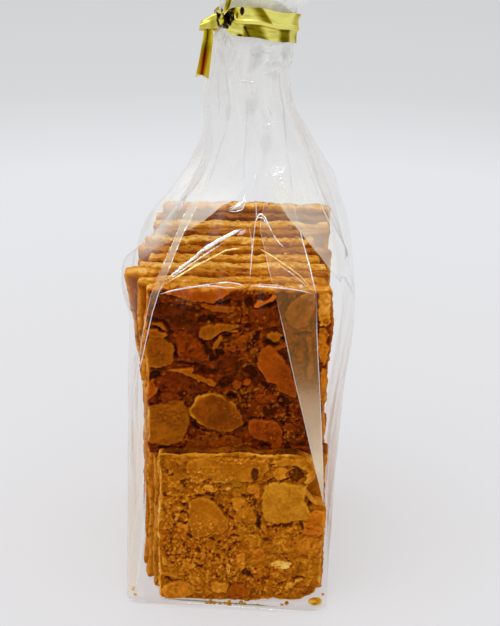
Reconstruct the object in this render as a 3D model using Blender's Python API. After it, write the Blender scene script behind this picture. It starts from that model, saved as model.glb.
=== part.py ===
"""A clear pack of square almond tuiles, standing on its flat bottom.

The pack is a gusseted bag of clear film, filled by two tiers of tuiles that stand on edge one behind the
other. Above them the film is gathered into a neck, which a gold foil twist tie closes, and the mouth fans
out over the tie. The film lies close on its load, so the bag and what it holds are one solid here.

Blender 4.5 script: metres, +Z up, the pack's front towards -Y, origin under the middle of the pack.
"""

import math

import bmesh
import bpy
from mathutils import Matrix, Vector

MM = 0.001

# Driving dimensions, in millimetres.
TUILE_SIDE = 55.5  # one square tuile
UPPER_FRONT = -30.5  # front face of the upper tier
LOWER_FRONT = -34.5  # front face of the lower tier, which stands a little forward
STACK_BACK = 38.0
FILM_SLACK = 1.0  # how far the film stands off the tuiles
STACK_TOP = 2 * TUILE_SIDE - 4.6  # the lower tuiles are the smaller ones
TIE_HEIGHT = 178.0  # middle of the tie, over the neck's centre
TIE_BAND = 8.2  # width of the foil ribbon
PACK_HEIGHT = 216.0
NECK_X = 2.6  # the neck is gathered a little right of the middle
TIE_GAP = 0.35  # between the tie and the film

# The bag's loft.
AROUND = 88  # points in one section
STEPS_PER_STATION = 2
BOTTOM_ROUND = 1.2  # radius of the film's bottom edge
BOTTOM_SKEW = -0.07  # the loose bottom edge runs forward to the right
SKEW_HEIGHT = 70.0
GUSSET_SPAN = 0.42  # share of the side that the gusset's fold takes
TUCK_POWER = 1.4
PLEATS = 13
PLEAT_WANDER = 2.2  # how unevenly the pleats are spaced
RUFFLES = 2.5  # waves across the mouth
RUFFLE_START = 3.1
RUFFLE_DEPTH = 4.2
MOUTH_DIP = 7.0  # how far the closed mouth sinks inside its edge
MOUTH_RIM = 2.4  # width of the edge
TIE_TILT = math.radians(7.0)  # the tie and the neck under it slope down to the right
TILT_FROM = 150.0
TILT_TO = 200.0

# One row for each height: height, left, right, front, back, squareness, gusset, pleats, and three tucks.
# Squareness is the power of the section's rounding: 2 is an ellipse, 14 nearly a rectangle. Gusset is the
# share of the half width by which the side's middle is folded in. Pleats is the depth of the gathers. The
# tucks draw in the section's front left, front right and back left corners, where the film lies on a tuile.
UPPER_FILM = UPPER_FRONT - FILM_SLACK
LOWER_FILM = LOWER_FRONT - FILM_SLACK
BACK_FILM = STACK_BACK + FILM_SLACK
STATIONS = (
    (0.0, -36.4, 28.6, LOWER_FILM - 2.4, BACK_FILM - 0.8, 20.0, 0.0, 0.0, 0.2, 1.6, 2.2),
    (28.0, -36.5, 29.4, LOWER_FILM - 1.2, BACK_FILM, 18.0, 0.0, 0.0, 1.6, 1.8, 2.8),
    (56.0, -36.5, 32.4, LOWER_FILM, BACK_FILM, 15.0, 0.01, 0.0, 3.0, 5.6, 3.4),
    (88.0, -36.4, 35.8, UPPER_FILM - 0.6, BACK_FILM - 0.2, 12.0, 0.03, 0.0, 4.0, 8.8, 5.6),
    (STACK_TOP, -35.8, 34.2, UPPER_FILM + 0.6, BACK_FILM - 1.6, 8.0, 0.08, 0.0, 3.4, 8.0, 8.6),
    (118.0, -27.0, 30.6, -23.0, 31.6, 5.6, 0.18, 0.4, 3.0, 5.0, 4.6),
    (130.0, -18.6, 26.2, -15.0, 23.0, 4.4, 0.26, 0.8, 1.6, 2.4, 2.0),
    (141.0, -13.6, 20.4, -9.0, 15.8, 3.6, 0.22, 1.1, 0.8, 1.0, 0.8),
    (154.0, -12.4, 13.8, -6.1, 11.9, 3.0, 0.10, 1.2, 0.0, 0.0, 0.0),
    (165.0, -9.8, 13.4, -4.9, 10.1, 2.6, 0.03, 1.0, 0.0, 0.0, 0.0),
    (170.5, -8.9, 13.8, -4.1, 9.1, 2.4, 0.0, 0.6, 0.0, 0.0, 0.0),
    (174.0, -8.4, 13.6, -3.3, 8.3, 2.4, 0.0, 0.0, 0.0, 0.0, 0.0),
    (182.6, -8.4, 13.6, -3.3, 8.3, 2.4, 0.0, 0.0, 0.0, 0.0, 0.0),
    (186.0, -11.4, 17.6, -3.9, 8.9, 2.4, 0.0, 0.7, 0.0, 0.0, 0.0),
    (192.0, -19.0, 25.4, -4.5, 9.5, 2.5, 0.0, 1.0, 0.0, 0.0, 0.0),
    (202.0, -25.6, 32.2, -4.9, 9.9, 2.6, 0.0, 1.0, 0.0, 0.0, 0.0),
    (PACK_HEIGHT, -29.0, 35.8, -5.1, 10.1, 2.6, 0.0, 0.9, 0.0, 0.0, 0.0),
)

# The tie: how it is swept, and where its twist and its two ends go.
RIBBON_THICK = 0.7
WIRE_PROUD = 0.45  # the wire's ridge along the ribbon's middle
WIRE_WIDE = 1.5
LOOP_STEPS = 72
KNOT_ANGLE = math.radians(212.0)  # where on the neck the twist stands off
KNOT_REACH = 5.4  # length of the twist
KNOT_DROP = (-1.0, 0.0, -1.6)  # how its outer end hangs
TWIST_TURNS = 1.5
TWIST_STEPS = 30
TWIST_WIDE = 4.6
TWIST_THICK = 2.6
TWIST_CORNERS = 12
END_STEPS = 9
FOLD_WIDE = 3.2  # an end is folded lengthwise, so it is a narrow V
FOLD_DEEP = 2.4
LOW_END_START = 1.4  # how far inside the twist's outer end the hanging end starts
LOW_END_RUN = ((-1.6, 0.4, -6.0), (-1.9, 0.8, -16.5))  # from the twist's outer end
HIGH_END_START = 2.4  # how far off the neck the standing end starts
HIGH_END_RISE = 0.4
HIGH_END_OFF = 3.0  # how far off the neck it then stands
HIGH_END_RUN = ((4.0, -3.4, 7.0), (7.5, -8.0, 18.0))
FORWARD = (0.0, -1.0, 0.0)  # the hanging end's V opens towards the front
SIDEWAYS = (1.0, -0.3, 0.0)  # the standing end's V opens to the right


def make_material(name, colour, roughness, metallic=0.0, alpha=1.0):
    material = bpy.data.materials.new(name)
    material.use_nodes = True
    shader = material.node_tree.nodes["Principled BSDF"]
    shader.inputs["Base Color"].default_value = (*colour, 1.0)
    shader.inputs["Roughness"].default_value = roughness
    shader.inputs["Metallic"].default_value = metallic
    shader.inputs["Alpha"].default_value = alpha
    material.diffuse_color = (*colour, alpha)
    return material


def make_object(name, mesh, material, collection):
    shape = bpy.data.objects.new(name, mesh)
    mesh.materials.append(material)
    collection.objects.link(shape)
    return shape


def ramp(value, low, high):
    """A smooth step from 0 at low to 1 at high."""
    share = min(max((value - low) / (high - low), 0.0), 1.0)
    return share * share * (3.0 - 2.0 * share)


def station_at(height):
    """The loft's values at a height, on a smooth curve through the stations."""
    rows = STATIONS
    index = 0
    while index < len(rows) - 2 and height > rows[index + 1][0]:
        index += 1
    before, start, end, after = (
        rows[max(index - 1, 0)],
        rows[index],
        rows[index + 1],
        rows[min(index + 2, len(rows) - 1)],
    )
    length = end[0] - start[0]
    share = (height - start[0]) / length
    values = []
    for column in range(1, len(start)):
        leaving = steady_slope(before, start, end, column) * length
        arriving = steady_slope(start, end, after, column) * length
        bow = share * (1.0 - share)
        blend = share * share * (3.0 - 2.0 * share)
        value = start[column] + (end[column] - start[column]) * blend
        value += bow * ((1.0 - share) * leaving - share * arriving)
        values.append(value)
    return values


def steady_slope(before, here, after, column):
    """The slope at a station, flat where the values turn back, so that the curve never overshoots."""
    if before is here or after is here:
        return 0.0
    rise_in = (here[column] - before[column]) / (here[0] - before[0])
    rise_out = (after[column] - here[column]) / (after[0] - here[0])
    if rise_in * rise_out <= 0.0:
        return 0.0
    return 2.0 * rise_in * rise_out / (rise_in + rise_out)


def leaning(x, y, height):
    """The point turned with the neck, which the tie pulls over to the right."""
    under = ramp(height, TILT_FROM, TIE_HEIGHT - TIE_BAND)
    over = 1.0 - ramp(height, TIE_HEIGHT + TIE_BAND, TILT_TO)
    turn = TIE_TILT * under * over
    aside, above = x - NECK_X, height - TIE_HEIGHT
    x = NECK_X + aside * math.cos(turn) + above * math.sin(turn)
    return Vector((x, y, TIE_HEIGHT + above * math.cos(turn) - aside * math.sin(turn)))


def gathers(angle):
    """The pleats round the neck, from -1 to 1, with uneven spacing."""
    wander = 0.55 * math.sin(2.0 * angle + 0.8) + 0.4 * math.sin(3.0 * angle + 2.1)
    fold = math.sin(PLEATS * angle + PLEAT_WANDER * wander)
    return 0.75 * fold + 0.25 * math.sin(2 * PLEATS * angle + 1.3)


def tuck_at(u, v, tucks):
    """How far the section is drawn in at a point, whose place in the section is u and v from -1 to 1."""
    front_left, front_right, back_left = tucks
    if v < 0.0:
        return (front_right if u > 0.0 else front_left) * (-v) ** TUCK_POWER
    return 0.0 if u > 0.0 else back_left * v**TUCK_POWER


def bag_point(angle, height, inset=0.0):
    """The film's surface in one direction from the section's centre, at a height."""
    left, right, front, back, power, gusset, pleat, *tucks = station_at(height)
    along, across = math.cos(angle), math.sin(angle)
    reach = (abs(along) ** power + abs(across) ** power) ** (-1.0 / power)
    u, v = along * reach, across * reach
    u *= 1.0 - gusset * math.exp(-((v / GUSSET_SPAN) ** 2))
    depth = pleat * gathers(angle)
    centre_x, centre_y = (left + right) / 2.0, (front + back) / 2.0
    x = centre_x + (right - left) / 2.0 * u + (depth - inset) * along - u * tuck_at(u, v, tucks)
    y = centre_y + (back - front) / 2.0 * v + (depth - inset) * across
    # The bottom's front edge isn't square to the sides.
    skew = BOTTOM_SKEW * (1.0 - ramp(height, 0.0, SKEW_HEIGHT))
    y += skew * (x - centre_x) * max(0.0, -v)
    # The mouth fans out in waves that grow towards its edge.
    ruffle = RUFFLE_DEPTH * ramp(height, TIE_HEIGHT + TIE_BAND, PACK_HEIGHT)
    y += ruffle * math.sin(RUFFLES * math.pi * u + RUFFLE_START)
    return leaning(x, y, height)


def bag_heights():
    heights = [BOTTOM_ROUND]
    for low, high in zip(STATIONS, STATIONS[1:]):
        for step in range(1, STEPS_PER_STATION + 1):
            heights.append(low[0] + (high[0] - low[0]) * step / STEPS_PER_STATION)
    return heights


def ring_of(mesh, points):
    return [mesh.verts.new(point * MM) for point in points]


def bridge(mesh, lower, upper):
    count = len(lower)
    for index in range(count):
        following = (index + 1) % count
        mesh.faces.new((lower[index], lower[following], upper[following], upper[index]))


def finish_mesh(mesh, name, sharp_degrees):
    bmesh.ops.recalc_face_normals(mesh, faces=mesh.faces)
    data = bpy.data.meshes.new(name)
    mesh.to_mesh(data)
    mesh.free()
    data.shade_smooth()
    data.set_sharp_from_angle(angle=math.radians(sharp_degrees))
    return data


def bag_mesh():
    """Sections from the flat bottom to the mouth, each bridged to the next one."""
    mesh = bmesh.new()
    angles = [2.0 * math.pi * index / AROUND for index in range(AROUND)]
    foot = [bag_point(angle, 0.0, BOTTOM_ROUND) for angle in angles]
    below = ring_of(mesh, foot)
    mesh.faces.new(list(reversed(below)))
    for height in bag_heights():
        above = ring_of(mesh, [bag_point(angle, height) for angle in angles])
        bridge(mesh, below, above)
        below = above
    # The mouth dips a little inside its wavy edge.
    dip = [bag_point(angle, PACK_HEIGHT, MOUTH_RIM) for angle in angles]
    inner = ring_of(mesh, [point - Vector((0.0, 0.0, MOUTH_DIP / 2.0)) for point in dip])
    bridge(mesh, below, inner)
    spine = [(first.co + second.co) / 2.0 for first, second in mirrored_pairs(inner)]
    keel = [mesh.verts.new(point - Vector((0.0, 0.0, MOUTH_DIP / 2.0 * MM))) for point in spine]
    close_over_keel(mesh, inner, keel)
    return finish_mesh(mesh, "bag", 40.0)


def mirrored_pairs(ring):
    """The points of a ring that face each other across the mouth, from right to left."""
    half = len(ring) // 2
    return [(ring[index], ring[len(ring) - index]) for index in range(1, half)]


def close_over_keel(mesh, ring, keel):
    """Closes the ring with faces down to a line along its middle."""
    count, half = len(ring), len(ring) // 2
    for index in range(1, half - 1):
        near, far = keel[index - 1], keel[index]
        mesh.faces.new((ring[index], ring[index + 1], far, near))
        mesh.faces.new((ring[count - index], near, far, ring[count - index - 1]))
    mesh.faces.new((ring[0], ring[1], keel[0]))
    mesh.faces.new((ring[0], keel[0], ring[count - 1]))
    mesh.faces.new((ring[half], keel[-1], ring[half - 1]))
    mesh.faces.new((ring[half], ring[half + 1], keel[-1]))


def sweep(name, profile, frames, closed):
    """Carries a profile along frames of (origin, side, up), in millimetres, to a closed solid."""
    mesh = bmesh.new()
    rings = []
    for (origin, side, up), outline in zip(frames, profile):
        rings.append(ring_of(mesh, [origin + side * u + up * v for u, v in outline]))
    for lower, upper in zip(rings, rings[1:]):
        bridge(mesh, lower, upper)
    if closed:
        bridge(mesh, rings[-1], rings[0])
    else:
        mesh.faces.new(list(reversed(rings[0])))
        mesh.faces.new(rings[-1])
    return finish_mesh(mesh, name, 30.0)


def neck_frame(angle, offset):
    """A point outside the neck at the tie's height, with the outward and the upward direction."""
    point = bag_point(angle, TIE_HEIGHT)
    ahead = bag_point(angle + 0.02, TIE_HEIGHT)
    along = (ahead - point).normalized()
    up = Vector((math.sin(TIE_TILT), 0.0, math.cos(TIE_TILT)))
    outward = along.cross(up).normalized()
    return point + outward * offset, outward, up


def band_outline():
    """The flat ribbon with its wire's ridge on the outer face: (outward, upward) pairs."""
    half = TIE_BAND / 2.0
    inner, outer = 0.0, RIBBON_THICK
    return [
        (inner, -half),
        (outer, -half),
        (outer, -WIRE_WIDE / 2.0),
        (outer + WIRE_PROUD, 0.0),
        (outer, WIRE_WIDE / 2.0),
        (outer, half),
        (inner, half),
    ]


def loop_mesh():
    frames = []
    for step in range(LOOP_STEPS):
        angle = KNOT_ANGLE + 2.0 * math.pi * step / LOOP_STEPS
        frames.append(neck_frame(angle, TIE_GAP))
    return sweep("loop", [band_outline()] * LOOP_STEPS, frames, True)


def curve_frames(points, steps, up_hint):
    """Frames along a quadratic curve through three points."""
    first, middle, last = points
    control = middle * 2.0 - (first + last) / 2.0
    frames = []
    for step in range(steps + 1):
        share = step / steps
        here = first * (1 - share) ** 2 + control * 2 * share * (1 - share) + last * share**2
        run = (control - first) * (1 - share) + (last - control) * share
        run.normalize()
        side = run.cross(up_hint).normalized()
        frames.append((here, side, side.cross(run).normalized()))
    return frames


def twist_mesh(start, end):
    """The two ends wound round each other: an oval section that turns as it runs."""
    frames, outlines = [], []
    run = (end - start).normalized()
    side = run.cross(Vector((0.0, 0.0, 1.0))).normalized()
    up = side.cross(run)
    for step in range(TWIST_STEPS + 1):
        share = step / TWIST_STEPS
        turn = 2.0 * math.pi * TWIST_TURNS * share
        swell = 1.0 - 0.25 * abs(2.0 * share - 1.0)
        outline = []
        for corner in range(TWIST_CORNERS):
            angle = 2.0 * math.pi * corner / TWIST_CORNERS
            flat = Vector((TWIST_WIDE / 2.0 * math.cos(angle), TWIST_THICK / 2.0 * math.sin(angle)))
            flat.rotate(Matrix.Rotation(turn, 2))
            outline.append(tuple(flat * swell))
        frames.append((start.lerp(end, share), side, up))
        outlines.append(outline)
    return sweep("twist", outlines, frames, False)


def folded_outline(share):
    """A ribbon folded lengthwise into a V, which narrows to the end's point."""
    wide = FOLD_WIDE / 2.0 * (1.0 - 0.35 * share)
    deep = FOLD_DEEP * (1.0 - 0.25 * share)
    thick = RIBBON_THICK
    return [
        (-wide - thick / 2.0, deep),
        (-thick * 0.7, -thick),
        (thick * 0.7, -thick),
        (wide + thick / 2.0, deep),
        (wide - thick / 2.0, deep),
        (0.0, thick / 2.0),
        (thick / 2.0 - wide, deep),
    ]


def end_mesh(points, opening):
    frames = curve_frames(points, END_STEPS, opening)
    outlines = [folded_outline(step / END_STEPS) for step in range(END_STEPS + 1)]
    return sweep("end", outlines, frames, False)


def tie_object(collection, material):
    """The loop, the twist and the two ends, joined into one solid."""
    pieces = bpy.data.collections.new("tie_pieces")
    collection.children.link(pieces)
    root, outward, up = neck_frame(KNOT_ANGLE, TIE_GAP + RIBBON_THICK / 2.0)
    knot = root + outward * KNOT_REACH + Vector(KNOT_DROP)
    low_end = [knot - outward * LOW_END_START] + [knot + Vector(step) for step in LOW_END_RUN]
    stand = root + outward * HIGH_END_OFF
    high_end = [root + outward * HIGH_END_START + up * HIGH_END_RISE]
    high_end += [stand + Vector(step) for step in HIGH_END_RUN]
    make_object("twist", twist_mesh(root, knot), material, pieces)
    make_object("low_end", end_mesh(low_end, Vector(FORWARD)), material, pieces)
    make_object("high_end", end_mesh(high_end, Vector(SIDEWAYS)), material, pieces)
    tie = make_object("twist_tie", loop_mesh(), material, collection)
    union = tie.modifiers.new("union", "BOOLEAN")
    union.operation = "UNION"
    union.solver = "MANIFOLD"  # EXACT leaves the twist and the ends as bodies of their own
    union.operand_type = "COLLECTION"
    union.collection = pieces
    apply_modifiers(tie)
    for piece in list(pieces.objects):
        bpy.data.objects.remove(piece)
    bpy.data.collections.remove(pieces)


def apply_modifiers(shape):
    bpy.context.view_layer.update()
    graph = bpy.context.evaluated_depsgraph_get()
    whole = bpy.data.meshes.new_from_object(shape.evaluated_get(graph))
    shape.modifiers.clear()
    shape.data = whole
    whole.name = shape.name


def main():
    for leftover in list(bpy.data.objects):
        bpy.data.objects.remove(leftover)
    collection = bpy.context.scene.collection
    film = make_material("film", (0.62, 0.47, 0.27), 0.25)
    foil = make_material("foil", (0.72, 0.60, 0.14), 0.2, metallic=1.0)
    make_object("bag", bag_mesh(), film, collection)
    tie_object(collection, foil)


main()
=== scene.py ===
"""A clear pack of square almond tuiles, closed by a gold foil twist tie, on a pale studio floor.

The tuiles and their crumbs come first, then the film bag round them, the folds and creases in the film, the
foil tie, and last the floor, the light and the camera. Lengths are in millimetres, until a mesh is made.
"""

import math

import bpy
import mathutils
import numpy as np
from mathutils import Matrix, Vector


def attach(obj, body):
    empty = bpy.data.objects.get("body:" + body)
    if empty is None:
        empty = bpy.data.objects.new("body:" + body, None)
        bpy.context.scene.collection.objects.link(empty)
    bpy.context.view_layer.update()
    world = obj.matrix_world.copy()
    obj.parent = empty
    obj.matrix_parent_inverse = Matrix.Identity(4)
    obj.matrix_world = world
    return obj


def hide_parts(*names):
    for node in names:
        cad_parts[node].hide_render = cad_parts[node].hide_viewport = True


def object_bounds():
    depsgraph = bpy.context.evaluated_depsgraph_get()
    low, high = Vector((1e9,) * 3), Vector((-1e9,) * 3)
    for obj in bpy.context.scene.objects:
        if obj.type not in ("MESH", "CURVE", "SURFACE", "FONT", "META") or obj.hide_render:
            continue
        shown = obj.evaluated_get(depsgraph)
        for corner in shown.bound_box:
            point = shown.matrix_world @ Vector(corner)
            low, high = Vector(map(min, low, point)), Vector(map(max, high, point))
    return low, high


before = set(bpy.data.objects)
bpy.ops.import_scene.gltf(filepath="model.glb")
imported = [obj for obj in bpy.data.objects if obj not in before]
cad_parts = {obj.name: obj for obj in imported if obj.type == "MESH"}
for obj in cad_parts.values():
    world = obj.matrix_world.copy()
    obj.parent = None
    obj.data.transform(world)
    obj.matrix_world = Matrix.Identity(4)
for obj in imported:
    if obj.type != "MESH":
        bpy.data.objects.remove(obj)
cad_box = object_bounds()


# ------------------------------------------------------------
# The tuiles: thin squares of caramel, flaked almonds and crumb, baked brown, some 5 mm thick. Two tiers of
# them stand on edge one behind the other. Nothing fixes them but the film that is drawn tight round them.

MM = 0.001
THICK = 5.4
CORNER = 0.9  # rounding of a tuile's corners
ROUNDOVER = 0.6  # rounding of its long edges
FLOOR_GAP = 0.15  # the lowest grains of crust stand this much off the floor
RELIEF = 0.72  # how much of a baked face's height stands out
# How finely a tuile is made: points along a side of a front face, of a back face at the back of the pack, and
# of a plain face; the depths of the rows round its rim; and how far in the rings of a plain face lie.
FRONT_POINTS, BACK_POINTS, PLAIN_POINTS = 196, 160, 104
RIM_DEPTHS = [0.3, 0.7, 1.2, 1.75, 2.35, 3.0, 3.6, 4.2, 4.7, 5.1, THICK]
FACE_RINGS = [0.5, 1.3, 2.8, 6.0]

# Upper tier, from the front: front face, left, right, top and bottom of each tuile, how far its left edge
# leans in, and how much darker than the others its top is painted, as shade where it lies in shadow.
UPPER_TIER = [
    (-30.5, -29.3, 25.4, 106.2, 50.9, 0.0, 0.08),
    (-24.3, -32.0, 24.6, 105.6, 52.0, 3.0, 0.12),
    (-18.1, -36.0, 25.0, 105.7, 52.4, 7.4, 0.3),
    (-11.9, -31.6, 24.3, 105.0, 52.2, 1.0, 0.0),
    (-5.7, -29.3, 22.6, 105.0, 52.6, 0.0, 0.05),
    (0.5, -32.6, 26.7, 105.2, 52.3, 1.0, 0.25),
    (6.7, -31.1, 22.2, 105.9, 52.8, 0.0, 0.0),
    (12.9, -28.4, 26.3, 106.0, 52.5, 0.0, 0.3),
    (19.1, -28.6, 26.6, 106.5, 52.4, 0.0, 0.0),
    (25.3, -28.5, 26.9, 106.6, 52.6, 0.0, 0.4),
    (31.1, -26.2, 28.0, 107.6, 52.3, 0.0, 0.0),
]
# Lower tier, in the same way.
LOWER_TIER = [
    (-34.5, -25.8, 25.2, 53.6, 0.6, 0.0, 0.62),
    (-28.2, -27.3, 25.9, 51.4, 0.8, -0.4, 0.4),
    (-22.1, -29.0, 25.4, 51.6, 1.0, -0.6, 0.4),
    (-16.0, -30.8, 24.2, 51.2, 0.9, -0.5, 0.3),
    (-9.9, -29.2, 26.2, 51.7, 1.1, 0.0, 0.3),
    (-3.8, -30.9, 24.8, 51.3, 0.8, 0.0, 0.3),
    (2.3, -29.0, 25.6, 51.8, 1.0, 0.0, 0.3),
    (8.4, -28.4, 26.4, 51.5, 0.9, 0.0, 0.3),
    (14.5, -29.9, 25.0, 51.4, 1.1, 0.0, 0.3),
    (20.6, -28.6, 25.9, 51.7, 0.8, 0.0, 0.3),
    (26.7, -29.3, 25.3, 51.6, 1.0, 0.0, 0.3),
    (32.2, -28.0, 26.8, 51.3, 0.9, 0.0, 0.3),
]

# The front lower tuile is broken at its right side: height, and where its right edge is.
BROKEN_EDGE = [
    (0.5, 18.0), (2.0, 21.0), (3.5, 23.6), (6.0, 24.8), (20.0, 24.9), (34.6, 25.8), (35.6, 24.8),
    (36.2, 22.6), (38.0, 20.4), (41.0, 19.3), (42.6, 20.2), (45.0, 22.3), (48.5, 22.5), (50.6, 21.4),
    (52.0, 19.8), (53.6, 16.0),
]

# And the right edge of the front upper tuile.
LEANING_EDGE = [
    (50.9, 24.3), (60.0, 24.4), (70.0, 24.9), (78.0, 25.2), (88.0, 25.6), (97.0, 26.1), (106.2, 26.0),
]

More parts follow.
